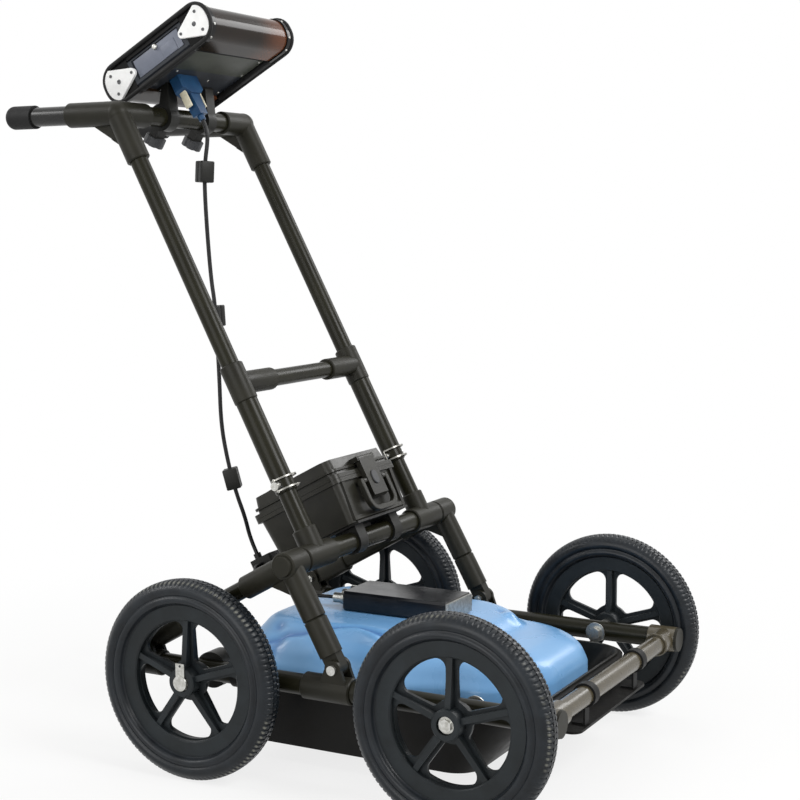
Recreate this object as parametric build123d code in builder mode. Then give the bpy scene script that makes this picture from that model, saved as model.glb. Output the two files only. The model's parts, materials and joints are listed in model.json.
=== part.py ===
from build123d import *
import os
from math import cos, pi, radians, sin, tan

# Push cart with a ground radar: +X ahead, +Y to the cart's left, +Z up, floor at z = 0,
# origin under the middle of the whole cart. Lengths in millimetres, angles in degrees.

# Clearances
seat_gap = 0.3
tube_fit = 0.2
run_fit = 0.08
flex_gap = 0.6
root_overlap = 1.0
small_edge = 1.0
soft_edge = 2.0
bold_edge = 3.0

# Wheels
wheel_od = 317.0
tyre_width = 46.0
wheelbase = 456.0
track = 630.0
rim_od = 239.0
rim_width = 26.0
rim_lip = 3.5
rim_bed_depth = 12.0
rim_ring = 24.0
spoke_count = 5
spoke_width = 19.0
spoke_rib_width = 9.0
spoke_rib_hub_depth = 36.0
spoke_rib_rim_depth = 19.0
web_thickness = 6.0
window_corner = 14.0
window_heel = 6.0
hub_od = 46.0
hub_width = 50.0
hub_recess_od = 28.0
hub_recess_depth = 6.0
axle_d = 12.0
axle_head_od = 22.0
axle_head_height = 9.0
axle_washer_od = 34.0
axle_washer_height = 2.5
axle_nut_od = 20.0
axle_nut_height = 4.6
nut_washer_od = 25.0
nut_washer_height = 1.4
tyre_crown_share = 0.62
tyre_belly_share = 0.45
tyre_shoulder_drop = 1.9
tread_spread_share = 0.8
tread_groove = 3.0
tread_groove_depth = 3.5

# Odometer on the right rear wheel
encoder_od = 58.0
encoder_depth = 36.0
drive_plate_width = 16.0
drive_plate_height = 31.0
drive_plate_thickness = 1.6
drive_cap_od = 25.0
drive_cap_height = 1.4

# Base frame
tube_wall = 2.5
fitting_wall = 4.3
side_tube_od = 33.0
tyre_clearance = 18.0
side_tube_spread = track - tyre_width - side_tube_od - 2 * tyre_clearance
crossbar_od = 30.0
crossbar_reach = 348.0
brace_reach = 348.0
corner_sleeve_inner = 28.0
corner_sleeve_outer = 20.0
corner_branch = 50.0
socket_depth = 40.0
end_cap_flange = 4.5
end_cap_plug = 14.0

# Struts, braces and upper cross tube
pivot_ahead = 5.0
pivot_rise = 34.5
strut_length = 173.0
strut_lean = 29.2
brace_tube_od = 28.0
knuckle_length = 81.0
tongue_length = 22.0
tongue_width = 20.0
tongue_gap = 0.4
lug_wall = 6.0
lug_radius = 14.0
saddle_behind = 57.0
saddle_ahead = 28.0
pivot_bolt_d = 8.0
pivot_head_od = 15.0
pivot_head_height = 5.0
pivot_nut_od = 14.0
pivot_nut_height = 6.5
pivot_thread_past = 2.0
lug_long_foot = 28.0
strut_lug_front = 27.0
brace_lug_rear = 19.6
cross_tube_od = 33.0
cross_tube_past = 19.5
cross_tube_length = side_tube_spread + 2 * cross_tube_past
strut_tee_width = 50.0
brace_branch = 93.0
gusset_thickness = 10.0
gusset_reach = 62.0
fitting_gap = 3.0
fitting_edge = 1.8

# Leaning handle
leg_tee_half = 43.0
leg_spread = cross_tube_length - 2 * (strut_tee_width + fitting_gap + leg_tee_half)
leg_lean = 27.8
leg_length = 790.0
leg_tube_od = 30.0
leg_tee_branch = 46.0
leg_sleeve_start = 109.0
leg_sleeve_wall = 2.8
leg_joint = 190.0
mid_tee_at = 300.0
mid_tee_half = 32.0
mid_tee_branch = 92.0
mid_tube_od = 28.0
elbow_leg = 87.0
elbow_grip = 99.0
elbow_branch = 70.0
elbow_ball_proud = 0.5
elbow_gusset_leg = 78.0
elbow_gusset_grip = 84.0
elbow_gusset_pocket = 3.2
elbow_gusset_rim = 9.0
handle_tube_od = 32.0
grip_cap_start = 174.0
grip_cap_length = 55.5
grip_cap_wall = 3.4

# Snap pins through the leg sleeves
pin_at = 123.0
pin_d = 8.0
pin_head_od = 14.0
pin_head_height = 9.0
pin_tip_reach = 6.0
bail_wire = 2.5
bail_clear = 5.0

# Skid tub and sensor
tub_floor_height = 30.0
tub_height = 118.0
tub_wall = 3.0
tub_lip = 8.0
tub_lip_height = 3.5
crossbar_clearance = 25.0
tube_clearance = 27.0
tub_top_rear = 255.0
tub_top_front = crossbar_reach - crossbar_od / 2 - tub_lip - crossbar_clearance
tub_top_half = (side_tube_spread - side_tube_od) / 2 - tub_lip - tube_clearance
tub_top_corner = 60.0
tub_rear_flare = 40.0
tub_front_flare = 105.0
tub_side_flare = 20.0
tub_floor_rear = tub_top_rear - tub_rear_flare
tub_floor_front = tub_top_front - tub_front_flare
tub_floor_half = tub_top_half - tub_side_flare
tub_floor_corner = 45.0
shelf_height = 82.0
shelf_thickness = 4.0
shelf_inset = 36.0
shelf_half = tub_floor_half - shelf_inset
shelf_past = 6.0
strap_width = 17.0
strap_thickness = 3.2
strap_spread = 210.0
strap_foot = 22.0
hanger_behind = 172.0
base_rim = 3.0
base_wall = 4.0
lid_rear_in = 15.0
lid_front_past = 2.0
lid_side_in = 14.0
lid_rear = tub_top_rear - lid_rear_in
lid_front = tub_top_front + lid_front_past
lid_half = tub_top_half - lid_side_in
lid_wall = 4.0
lid_skirt = 9.0
lid_shell_height = 52.0
# Lid sections: share of the height, draw in at rear, front and sides, rear and front corners
lid_shell_rows = ((0, 0, 0, 0, 70, 120), (0.55, 6, 5, 14, 64, 112), (1, 18, 62, 42, 52, 90))
lid_deck_rows = ((0.37, -22, -22, -34, 60, 60), (0.86, -12, -9, -18, 52, 46), (1, 0, 0, 0, 42, 36))
lid_deck_height = 70.0
deck_rear_in = 35.0
deck_nose = 162.0
deck_side_in = 64.0
lid_deck_rear = lid_rear - deck_rear_in
lid_deck_front = lid_front - deck_nose
lid_deck_half = lid_half - deck_side_in
dish_behind = 172.0
dish_side_in = 47.0
dish_half_length = 27.0
dish_half_width = 17.0
dish_depth = 3.2
antenna_gap = 24.0
antenna_end_margin = 43.0
antenna_side_margin = 86.0
antenna_length = (tub_floor_rear + tub_floor_front - antenna_gap) / 2 - antenna_end_margin
antenna_width = 2 * (tub_floor_half - antenna_side_margin)
antenna_thickness = 3.0
antenna_feed = 26.0

# Electronics box on the lid
box_rear = 110.0
box_nose = 59.0
box_front = lid_deck_front - box_nose
box_half = 47.0
box_height = 33.0
box_edge = 4.0
end_plate_thickness = 4.0
end_plate_margin = 2.0
plug_od = 17.0
plug_ring_od = 21.0
plug_length = 24.0
plug_pitch = 29.0

# Battery case, measured in the leaning frame of the legs
case_front = 38.0
case_rear = 134.0
case_half = 94.0
case_floor = 26.0
case_split = 101.0
case_top = 136.0
case_wall = 3.5
case_corner = 14.0
case_draft = 5.0
rim_proud = 5.0
rim_half_height = 7.0
post_width = 8.0
post_proud = 3.0
rail_height = 9.0
ridge_up = 13.0
ridge_height = 4.0
ridge_proud = 1.5
top_margin = 16.0
top_proud = 2.5
hinge_pin_d = 5.0
hinge_knuckle_od = 11.0
hinge_knuckle_length = 36.0
hinge_spread = 96.0
lid_open_gap = 0.4
latch_half = 23.0
latch_thickness = 9.0
latch_top = 127.0
latch_bottom = 52.0
latch_toe = 4.0
latch_well = 6.3
latch_pin_d = 4.0
latch_button_half = 9.0
latch_button_height = 24.0
latch_button_proud = 2.5
latch_button_travel = 2.0
handle_half = 40.0
handle_bar = 9.0
handle_pivot_at = 84.0
handle_bottom = 34.0
handle_pin_d = 5.0
cradle_thickness = 4.0
cradle_half = 84.0
cradle_band = 26.0
cradle_margin = 4.0
cradle_keel = 12.0
cell_gap = 1.5
terminal_length = 46.0
terminal_half = 24.0
terminal_height = 24.0
terminal_behind = 54.0
gland_od = 13.0
gland_height = 9.0
gland_share = 0.35
gland_side = -15.0

# Display on the handle crossbar, measured in its own tilted frame
display_tilt = 29.0
display_ahead = 80.5
display_rise = 69.4
housing_half_length = 62.0
housing_half_width = 119.0
housing_top = 24.0
housing_bottom = 25.0
housing_edge = 4.0
pocket_depth = 2.5
pocket_end_margin = 8.0
pocket_top_margin = 6.0
pocket_low_margin = 9.0
cover_rear = 2.0
cover_front = 56.0
cover_half = 104.0
cover_proud = 1.5
bumper_half_height = 30.5
bumper_length = 55.0
bumper_round = 27.0
collar_width = 11.0
collar_proud = 2.5
plate_thickness = 5.5
plate_corner = 8.0
plate_apex = 41.0
plate_far = 104.0
plate_bulge = 116.5
plate_rise = 30.0
screen_half_length = 52.0
screen_half_width = 98.0
screen_thickness = 3.0
screen_recess = 2.0
button_d = 10.0
button_ahead = 0.0
button_rise = 13.0
button_proud = 4.0
button_travel = 1.5
button_depth = 9.0
clamp_spread = 110.0
clamp_width = 24.0
clamp_wall = 7.0
clamp_gap = 0.3
clamp_ear = 36.0
clamp_ear_width = 15.0
clamp_turn = 30.0
mount_plate = 4.0
mount_plate_front = -40.0
knob_od = 36.0
knob_height = 15.0
knob_scallops = 6
knob_scallop_d = 9.0
knob_stud_d = 8.0
hood_side = -37.0
hood_ahead = -25.0
hood_length = 72.0
hood_half_width = 28.0
hood_head = 24.0
hood_shoulder = 10.0
hood_neck_half_width = 14.0
hood_tail_half_width = 10.0
hood_half_thickness = 12.0
hood_neck_half_thickness = 9.0
relief_od = 12.0
relief_length = 9.0
clip_thickness = 3.5
clip_length = 32.0
clip_half_width = 6.0
clip_in = 18.5

# Cables
cable_d = 7.0
cable_lead_in = 14.0
lead_d = 6.0
lead_lead_in = 20.5
ferrite_length = 36.0
ferrite_half = 12.5

# Worked out places
sides = (-1, 1)
axle_z = wheel_od / 2
side_y = side_tube_spread / 2
leg_y = leg_spread / 2
side_fitting_od = side_tube_od + 2 * (tube_fit + fitting_wall)
crossbar_fitting_od = crossbar_od + 2 * (tube_fit + fitting_wall)
brace_fitting_od = brace_tube_od + 2 * (tube_fit + fitting_wall)
cross_fitting_od = cross_tube_od + 2 * (tube_fit + fitting_wall)
leg_fitting_od = leg_tube_od + 2 * (tube_fit + fitting_wall)
leg_sleeve_od = leg_tube_od + 2 * (tube_fit + leg_sleeve_wall)
mid_fitting_od = mid_tube_od + 2 * (tube_fit + fitting_wall)
handle_fitting_od = handle_tube_od + 2 * (tube_fit + fitting_wall)
grip_cap_od = handle_tube_od + 2 * (tube_fit + grip_cap_wall)

# The middle between the axles lies so far ahead of the origin that the cart is centred on it
strut_back = strut_length * sin(radians(strut_lean))
leg_back = leg_length * sin(radians(leg_lean))
grip_reach = strut_back - pivot_ahead + leg_back + grip_cap_start + grip_cap_length
wheel_reach = (wheelbase + wheel_od) / 2
axle_mid_x = (grip_reach - wheel_reach) / 2

pivot_x = axle_mid_x + pivot_ahead
pivot_z = axle_z + pivot_rise
cross_x = pivot_x - strut_back
cross_z = pivot_z + strut_length * cos(radians(strut_lean))
front_bar_x = axle_mid_x + crossbar_reach
brace_foot_x = axle_mid_x - brace_reach
corner_x = cross_x - leg_back
corner_z = cross_z + leg_length * cos(radians(leg_lean))
leg_up = Vector(-sin(radians(leg_lean)), 0, cos(radians(leg_lean)))
leg_ahead = Vector(cos(radians(leg_lean)), 0, sin(radians(leg_lean)))
leg_frame = Plane(origin=(cross_x, 0, cross_z), x_dir=leg_ahead, z_dir=leg_up)
leg_side = Plane(origin=(cross_x, 0, cross_z), x_dir=leg_ahead, z_dir=(0, -1, 0))
display_out = Vector(-sin(radians(display_tilt)), 0, cos(radians(display_tilt)))
display_fwd = Vector(cos(radians(display_tilt)), 0, sin(radians(display_tilt)))
display_middle = Vector(corner_x, 0, corner_z) + display_fwd * display_ahead + display_out * display_rise
display_frame = Plane(origin=display_middle, x_dir=display_fwd, z_dir=display_out)
display_side = Plane(origin=display_middle, x_dir=display_fwd, z_dir=(0, -1, 0))
knob_way = Vector(-sin(radians(clamp_turn)), 0, -cos(radians(clamp_turn)))


def leg_point(up, side=0, ahead=0):
    # A point given along the leg from the upper cross tube, sideways and square ahead of the leg
    point = Vector(cross_x, 0, cross_z) + leg_up * up + leg_ahead * ahead
    return Vector(point.X, side, point.Z)


def display_point(fwd, side, out):
    point = display_middle + display_fwd * fwd + display_out * out
    return Vector(point.X, side, point.Z)


def side_plane(side):
    # Upright plane along the cart: sketch x is X, sketch y is Z
    return Plane.XZ.offset(-side)


def add_bar(start, end, diameter, mode=Mode.ADD):
    # Round bar from one point to another
    first, last = Vector(*start), Vector(*end)
    with BuildSketch(Plane(origin=first, z_dir=last - first)) as section:
        Circle(diameter / 2)
    extrude(section.sketch, amount=(last - first).length, mode=mode)


def add_sleeve(start, end, diameter):
    # Round bar whose far end has a bevelled edge, like a moulded fitting's mouth
    first, last = Vector(*start), Vector(*end)
    way = (last - first).normalized()
    edge = last - way * fitting_edge
    add_bar(first, edge, diameter)
    with BuildSketch(Plane(origin=edge, z_dir=way)) as mouth:
        Circle(diameter / 2)
    extrude(mouth.sketch, amount=fitting_edge, taper=45)


def add_tube(start, end, diameter):
    add_bar(start, end, diameter)
    add_bar(start, end, diameter - 2 * tube_wall, Mode.SUBTRACT)


def add_block(plane, x_range, y_range, z_range, mode=Mode.ADD):
    # Block between three pairs of limits in a plane's own axes
    with BuildSketch(plane.offset(z_range[0])) as section:
        with Locations(((x_range[0] + x_range[1]) / 2, (y_range[0] + y_range[1]) / 2)):
            Rectangle(x_range[1] - x_range[0], y_range[1] - y_range[0])
    extrude(section.sketch, amount=z_range[1] - z_range[0], mode=mode)


def add_web(plane, points, thickness, mode=Mode.ADD):
    # Flat web of a given outline, half its thickness to each side of the plane
    with BuildSketch(plane) as section:
        with BuildLine():
            Polyline(*points, close=True)
        make_face()
    extrude(section.sketch, amount=thickness / 2, both=True, mode=mode)


def outline(height, rear, front, half, rear_corner, front_corner):
    # Plan outline of the sensor and its tub at one height, with rounded corners
    with BuildSketch(Plane.XY.offset(height)) as section:
        with Locations((axle_mid_x + (front - rear) / 2, 0)):
            Rectangle(front + rear, 2 * half)
        corners = section.vertices().sort_by(Axis.X)
        fillet(corners[:2], rear_corner)
        corners = section.vertices().sort_by(Axis.X)[-2:]
        fillet(corners, front_corner)
    return section.sketch


def finish(part, name):
    part.label = name
    export_step(part, f"parts/{name}.step")


os.makedirs("parts", exist_ok=True)

# Wheels: a moulded rim with a web of five ribbed spokes, and a tyre in its channel
rim_r = rim_od / 2
ring_r = rim_r - rim_ring
bed_r = rim_r - rim_bed_depth
half_rim = rim_width / 2
half_bed = half_rim - 2 * rim_lip
half_lip = half_rim - rim_lip


def make_wheel(centre, outward):
    face = Plane(origin=centre, x_dir=(1, 0, 0), z_dir=(0, -1, 0))
    cut = Plane(origin=centre, x_dir=(0, 1, 0), z_dir=(1, 0, 0))
    with BuildPart() as wheel:
        with BuildSketch(face) as web:
            Circle(ring_r + root_overlap)
        extrude(web.sketch, amount=web_thickness / 2, both=True)
        with BuildSketch(face) as windows:
            Circle(ring_r - soft_edge)
            Circle(hub_od / 2 + spoke_width / 2, mode=Mode.SUBTRACT)
            with PolarLocations(ring_r / 2, spoke_count, 90):
                Rectangle(ring_r, spoke_width, mode=Mode.SUBTRACT)
            fillet(windows.vertices().sort_by_distance((0, 0, 0))[-2 * spoke_count:], window_corner)
            fillet(windows.vertices().sort_by_distance((0, 0, 0))[:2 * spoke_count], window_heel)
        extrude(windows.sketch, amount=web_thickness, both=True, mode=Mode.SUBTRACT)
        for spoke in range(spoke_count):
            turn = radians(90 + 360 * spoke / spoke_count)
            radial, tangent = (cos(turn), 0, sin(turn)), (-sin(turn), 0, cos(turn))
            rib_plane = Plane(origin=centre, x_dir=radial, z_dir=tangent)
            rib = (
                (axle_d, spoke_rib_hub_depth / 2), (ring_r + root_overlap, spoke_rib_rim_depth / 2),
                (ring_r + root_overlap, -spoke_rib_rim_depth / 2), (axle_d, -spoke_rib_hub_depth / 2),
            )
            add_web(rib_plane, rib, spoke_rib_width)
        with BuildSketch(face) as hub:
            Circle(hub_od / 2)
        extrude(hub.sketch, amount=hub_width / 2, both=True)
        chamfer(wheel.edges().filter_by(GeomType.CIRCLE).group_by(Axis.Y)[0], soft_edge)
        chamfer(wheel.edges().filter_by(GeomType.CIRCLE).group_by(Axis.Y)[-1], soft_edge)
        with BuildSketch(cut) as channel:
            with BuildLine():
                Polyline(
                    (soft_edge - half_rim, ring_r), (half_rim - soft_edge, ring_r),
                    (half_rim, ring_r + soft_edge), (half_rim, rim_r), (half_lip, rim_r), (half_bed, bed_r),
                    (-half_bed, bed_r), (-half_lip, rim_r), (-half_rim, rim_r),
                    (-half_rim, ring_r + soft_edge), close=True,
                )
            make_face()
        revolve(channel.sketch, axis=Axis(centre, (0, 1, 0)))
        middle = Vector(*centre)
        out = Vector(0, outward, 0)
        add_bar(middle - out * hub_width, middle + out * hub_width, axle_d + 2 * run_fit, Mode.SUBTRACT)
        recess_floor = middle + out * (hub_width / 2 - hub_recess_depth)
        add_bar(recess_floor, middle + out * hub_width, hub_recess_od, Mode.SUBTRACT)
    return wheel.part


tyre_r = wheel_od / 2
half_tyre = tyre_width / 2
bead_gap = seat_gap + run_fit
crown_half = half_tyre * tyre_crown_share
belly_r = rim_r + (tyre_r - rim_r) * tyre_belly_share


def make_tyre(centre):
    cut = Plane(origin=centre, x_dir=(0, 1, 0), z_dir=(1, 0, 0))
    shoulder = (crown_half, tyre_r - tyre_shoulder_drop)
    belly = (half_tyre, belly_r)
    heel = (half_rim, rim_r + bead_gap)
    with BuildPart() as tyre:
        with BuildSketch(cut) as section:
            with BuildLine():
                ThreePointArc((-shoulder[0], shoulder[1]), (0, tyre_r), shoulder)
                ThreePointArc(shoulder, belly, heel)
                Line(heel, (half_lip - bead_gap, rim_r + bead_gap))
                Polyline(
                    (half_lip - bead_gap, rim_r + bead_gap), (half_bed - bead_gap, bed_r + bead_gap),
                    (bead_gap - half_bed, bed_r + bead_gap), (bead_gap - half_lip, rim_r + bead_gap),
                    (-heel[0], heel[1]),
                )
                ThreePointArc((-heel[0], heel[1]), (-belly[0], belly[1]), (-shoulder[0], shoulder[1]))
            make_face()
            with GridLocations(crown_half * tread_spread_share, 1, 2, 1):
                with Locations((0, tyre_r)):
                    Rectangle(tread_groove, 2 * tread_groove_depth, mode=Mode.SUBTRACT)
        revolve(section.sketch, axis=Axis(centre, (0, 1, 0)))
    return tyre.part


for end, end_name in ((1, "front"), (-1, "rear")):
    for side, side_name in ((-1, "right"), (1, "left")):
        hub_centre = (axle_mid_x + end * wheelbase / 2, side * track / 2, axle_z)
        finish(make_wheel(hub_centre, side), f"wheel_{end_name}_{side_name}")
        finish(make_tyre(hub_centre), f"tyre_{end_name}_{side_name}")

# Axle bolts: head and washer inside the side tube, spacer, nut in the hub's recess.
# The right rear one runs into the encoder instead of a head.
tube_outer_y = side_y + side_tube_od / 2
tube_inner_y = side_y - side_tube_od / 2
hub_inner_y = (track - hub_width) / 2
hub_outer_y = (track + hub_width) / 2
nut_seat_y = hub_outer_y - hub_recess_depth
nut_top_y = nut_seat_y + seat_gap + nut_washer_height + axle_nut_height
encoder_floor_y = tube_inner_y - encoder_depth / 2

with BuildPart() as axle_bolts:
    for end in (1, -1):
        for side in sides:
            x = axle_mid_x + end * wheelbase / 2
            drives_encoder = end < 0 and side < 0
            washer_y = tube_inner_y - seat_gap - axle_washer_height
            inner_y = encoder_floor_y if drives_encoder else washer_y - axle_head_height
            add_bar((x, side * inner_y, axle_z), (x, side * nut_top_y, axle_z), axle_d)
            if not drives_encoder:
                washer_end = (x, side * (washer_y + axle_washer_height), axle_z)
                add_bar((x, side * washer_y, axle_z), washer_end, axle_washer_od)
                head = Plane(origin=(x, side * inner_y, axle_z), z_dir=(0, side, 0))
                with BuildSketch(head) as hexagon:
                    RegularPolygon(axle_head_od / 2, 6)
                extrude(hexagon.sketch, amount=axle_head_height)
            spacer_start = (x, side * (tube_outer_y + seat_gap), axle_z)
            add_bar(spacer_start, (x, side * (hub_inner_y - seat_gap), axle_z), 2 * axle_d)
            washer_start = nut_seat_y + seat_gap
            washer_end = washer_start + nut_washer_height
            add_bar((x, side * washer_start, axle_z), (x, side * washer_end, axle_z), nut_washer_od)
            nut = Plane(origin=(x, side * washer_end, axle_z), z_dir=(0, side, 0))
            with BuildSketch(nut) as hexagon:
                RegularPolygon(axle_nut_od / 2, 6)
            extrude(hexagon.sketch, amount=axle_nut_height)
finish(axle_bolts.part, "axle_bolts")

# Odometer: encoder hugging the side tube on the right rear axle, drive plate on the hub
rear_axle_x = axle_mid_x - wheelbase / 2
encoder_end_y = -tube_inner_y + encoder_depth - side_tube_od / 2
with BuildPart() as odometer_encoder:
    add_bar((rear_axle_x, -side_y, axle_z), (rear_axle_x, encoder_end_y, axle_z), encoder_od)
    chamfer(odometer_encoder.edges().filter_by(GeomType.CIRCLE).group_by(Axis.Y)[-1], bold_edge)
    add_bar(
        (rear_axle_x - encoder_od, -side_y, axle_z), (rear_axle_x + encoder_od, -side_y, axle_z),
        side_tube_od + 2 * seat_gap, Mode.SUBTRACT,
    )
    bore_end = (rear_axle_x, -encoder_floor_y + seat_gap, axle_z)
    add_bar((rear_axle_x, -side_y, axle_z), bore_end, axle_d + 2 * tube_fit, Mode.SUBTRACT)
finish(odometer_encoder.part, "odometer_encoder")

with BuildPart() as odometer_drive_plate:
    plate_y = -hub_outer_y - seat_gap
    plate_plane = Plane(origin=(rear_axle_x, plate_y, axle_z), x_dir=(1, 0, 0), z_dir=(0, -1, 0))
    with BuildSketch(plate_plane) as strip:
        Circle(drive_cap_od / 2)
        with Locations((0, drive_plate_height / 2)):
            Rectangle(drive_plate_width, drive_plate_height)
        with Locations((0, drive_plate_height - drive_plate_width / 4)):
            Circle(pivot_bolt_d / 4, mode=Mode.SUBTRACT)
    extrude(strip.sketch, amount=drive_plate_thickness)
    with BuildSketch(plate_plane.offset(drive_plate_thickness)) as cap:
        Circle(drive_cap_od / 2)
    extrude(cap.sketch, amount=drive_cap_height, taper=20)
    recess_cap = (rear_axle_x, plate_y + hub_recess_depth, axle_z)
    nut_room = (rear_axle_x, -nut_top_y - seat_gap, axle_z)
    add_bar(recess_cap, nut_room, axle_nut_od + 2 * seat_gap, Mode.SUBTRACT)
finish(odometer_drive_plate.part, "odometer_drive_plate")

# Side tubes through all four corners, drilled for the axles
tube_front_x = front_bar_x + corner_sleeve_outer
tube_rear_x = brace_foot_x - corner_sleeve_outer
with BuildPart() as side_tubes:
    for side in sides:
        add_tube((tube_rear_x, side * side_y, axle_z), (tube_front_x, side * side_y, axle_z), side_tube_od)
        for end in (1, -1):
            x = axle_mid_x + end * wheelbase / 2
            hole_start = (x, side * (side_y - side_tube_od), axle_z)
            hole_end = (x, side * (side_y + side_tube_od), axle_z)
            add_bar(hole_start, hole_end, axle_d + 2 * tube_fit, Mode.SUBTRACT)
finish(side_tubes.part, "side_tubes")


def add_lugs(x, side, rear_foot, front_foot):
    # Two ears that stand on a sleeve round the side tube and hold a pivot bolt
    ear_shift = tongue_width / 2 + tongue_gap + lug_wall / 2
    for ear in (-1, 1):
        plane = side_plane(side * side_y + ear * ear_shift)
        with BuildSketch(plane) as ear_shape:
            with BuildLine():
                Polyline(
                    (x - rear_foot, axle_z), (x + front_foot, axle_z),
                    (x + lug_radius, pivot_z), (x - lug_radius, pivot_z), close=True,
                )
            make_face()
            with Locations((x, pivot_z)):
                Circle(lug_radius)
                Circle(pivot_bolt_d / 2 + tube_fit, mode=Mode.SUBTRACT)
        extrude(ear_shape.sketch, amount=lug_wall / 2, both=True)


def bore_side_tube(x_from, x_to, side):
    start = (x_from, side * side_y, axle_z)
    add_bar(start, (x_to, side * side_y, axle_z), side_tube_od + 2 * tube_fit, Mode.SUBTRACT)


# Front corner tees carry the crossbar
socket_floor_y = side_y - side_tube_od / 2 - fitting_wall
with BuildPart() as corner_tees:
    for side in sides:
        y = side * side_y
        inner_x = front_bar_x - corner_sleeve_inner
        add_sleeve((tube_front_x, y, axle_z), (inner_x, y, axle_z), side_fitting_od)
        branch_end = (front_bar_x, side * (side_y - corner_branch), axle_z)
        add_sleeve((front_bar_x, y, axle_z), branch_end, crossbar_fitting_od)
        bore_side_tube(inner_x, tube_front_x, side)
        socket_floor = (front_bar_x, side * socket_floor_y, axle_z)
        add_bar(socket_floor, branch_end, crossbar_od + 2 * tube_fit, Mode.SUBTRACT)
finish(corner_tees.part, "corner_tees")

crossbar_end_y = socket_floor_y - seat_gap
with BuildPart() as front_crossbar:
    bar_start = (front_bar_x, -crossbar_end_y, axle_z)
    add_tube(bar_start, (front_bar_x, crossbar_end_y, axle_z), crossbar_od)
finish(front_crossbar.part, "front_crossbar")


def add_end_cap(start, way, flange_od, tube_od):
    # Flange over a tube's open end with a plug inside the tube
    first, out = Vector(*start), Vector(*way)
    flange = Plane(origin=first + out * seat_gap, z_dir=out)
    with BuildSketch(flange) as disc:
        Circle(flange_od / 2)
    extrude(disc.sketch, amount=end_cap_flange, taper=15)
    plug_d = tube_od - 2 * tube_wall - 2 * tube_fit
    add_bar(first + out * (seat_gap + end_cap_flange / 2), first - out * end_cap_plug, plug_d)


cross_end_y = cross_tube_length / 2
with BuildPart() as tube_end_caps:
    for side in sides:
        add_end_cap((tube_front_x, side * side_y, axle_z), (1, 0, 0), side_fitting_od, side_tube_od)
        add_end_cap((tube_rear_x, side * side_y, axle_z), (-1, 0, 0), side_fitting_od, side_tube_od)
        add_end_cap((cross_x, side * cross_end_y, cross_z), (0, side, 0), cross_tube_od, cross_tube_od)
finish(tube_end_caps.part, "tube_end_caps")

# Saddles round the side tubes: one under each strut, one at each rear end for the braces
with BuildPart() as pivot_saddles:
    for side in sides:
        y = side * side_y
        for foot_x, from_x, to_x, rear_foot, front_foot in (
            (pivot_x, pivot_x - saddle_behind, pivot_x + saddle_ahead, lug_long_foot, strut_lug_front),
            (brace_foot_x, tube_rear_x, brace_foot_x + corner_sleeve_inner, brace_lug_rear, lug_long_foot),
        ):
            add_sleeve((foot_x, y, axle_z), (from_x, y, axle_z), side_fitting_od)
            add_sleeve((foot_x, y, axle_z), (to_x, y, axle_z), side_fitting_od)
            add_lugs(foot_x, side, rear_foot, front_foot)
            bore_side_tube(from_x, to_x, side)
finish(pivot_saddles.part, "pivot_saddles")

# Knuckles: a socket for the strut or brace tube and a tongue between the lugs
pivots = ((pivot_x, pivot_z), (brace_foot_x, pivot_z))
tongue_radius = pivot_rise - side_fitting_od / 2 - tongue_gap
with BuildPart() as pivot_knuckles:
    for side in sides:
        y = side * side_y
        for foot_x, foot_z in pivots:
            foot = Vector(foot_x, y, foot_z)
            up = (Vector(cross_x, y, cross_z) - foot).normalized()
            across = Vector(up.Z, 0, -up.X)
            add_sleeve(foot + up * tongue_length, foot + up * knuckle_length, brace_fitting_od)
            tongue = side_plane(y)
            tip = (foot_x, foot_z)
            top = foot + up * (tongue_length + tongue_radius)
            half = across * tongue_radius
            blade = [top + half, foot + half, foot - half, top - half]
            add_web(tongue, [(point.X, point.Z) for point in blade], tongue_width)
            with BuildSketch(tongue) as eye:
                with Locations(tip):
                    Circle(tongue_radius)
            extrude(eye.sketch, amount=tongue_width / 2, both=True)
            add_bar(
                foot + up * knuckle_length, foot + up * (knuckle_length - socket_depth),
                brace_tube_od + 2 * tube_fit, Mode.SUBTRACT,
            )
            bolt_hole = pivot_bolt_d + 2 * tube_fit
            hole_start = (foot_x, y - tongue_width, foot_z)
            add_bar(hole_start, (foot_x, y + tongue_width, foot_z), bolt_hole, Mode.SUBTRACT)
finish(pivot_knuckles.part, "pivot_knuckles")

lug_face = tongue_width / 2 + tongue_gap + lug_wall
with BuildPart() as pivot_bolts:
    for side in sides:
        for foot_x, foot_z in pivots:
            head_y = side * (side_y + lug_face + seat_gap)
            nut_y = side * (side_y - lug_face - seat_gap)
            end_y = nut_y - side * (pivot_nut_height + pivot_thread_past)
            head_end = (foot_x, head_y + side * pivot_head_height, foot_z)
            add_bar((foot_x, end_y, foot_z), head_end, pivot_bolt_d)
            add_bar((foot_x, head_y, foot_z), head_end, pivot_head_od)
            nut = Plane(origin=(foot_x, nut_y, foot_z), z_dir=(0, -side, 0))
            with BuildSketch(nut) as hexagon:
                RegularPolygon(pivot_nut_od / 2, 6)
            extrude(hexagon.sketch, amount=pivot_nut_height)
finish(pivot_bolts.part, "pivot_bolts")

# Struts and braces between the upper cross tube and their knuckles
cross_floor = cross_tube_od / 2 + tube_fit + fitting_wall
with BuildPart() as brace_tubes:
    for side in sides:
        y = side * side_y
        for foot_x, foot_z in pivots:
            foot = Vector(foot_x, y, foot_z)
            head = Vector(cross_x, y, cross_z)
            up = (head - foot).normalized()
            lower = foot + up * (knuckle_length - socket_depth + seat_gap)
            add_tube(lower, head - up * (cross_floor + seat_gap), brace_tube_od)
finish(brace_tubes.part, "brace_tubes")

with BuildPart() as upper_cross_tube:
    add_tube((cross_x, -cross_end_y, cross_z), (cross_x, cross_end_y, cross_z), cross_tube_od)
finish(upper_cross_tube.part, "upper_cross_tube")

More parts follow.
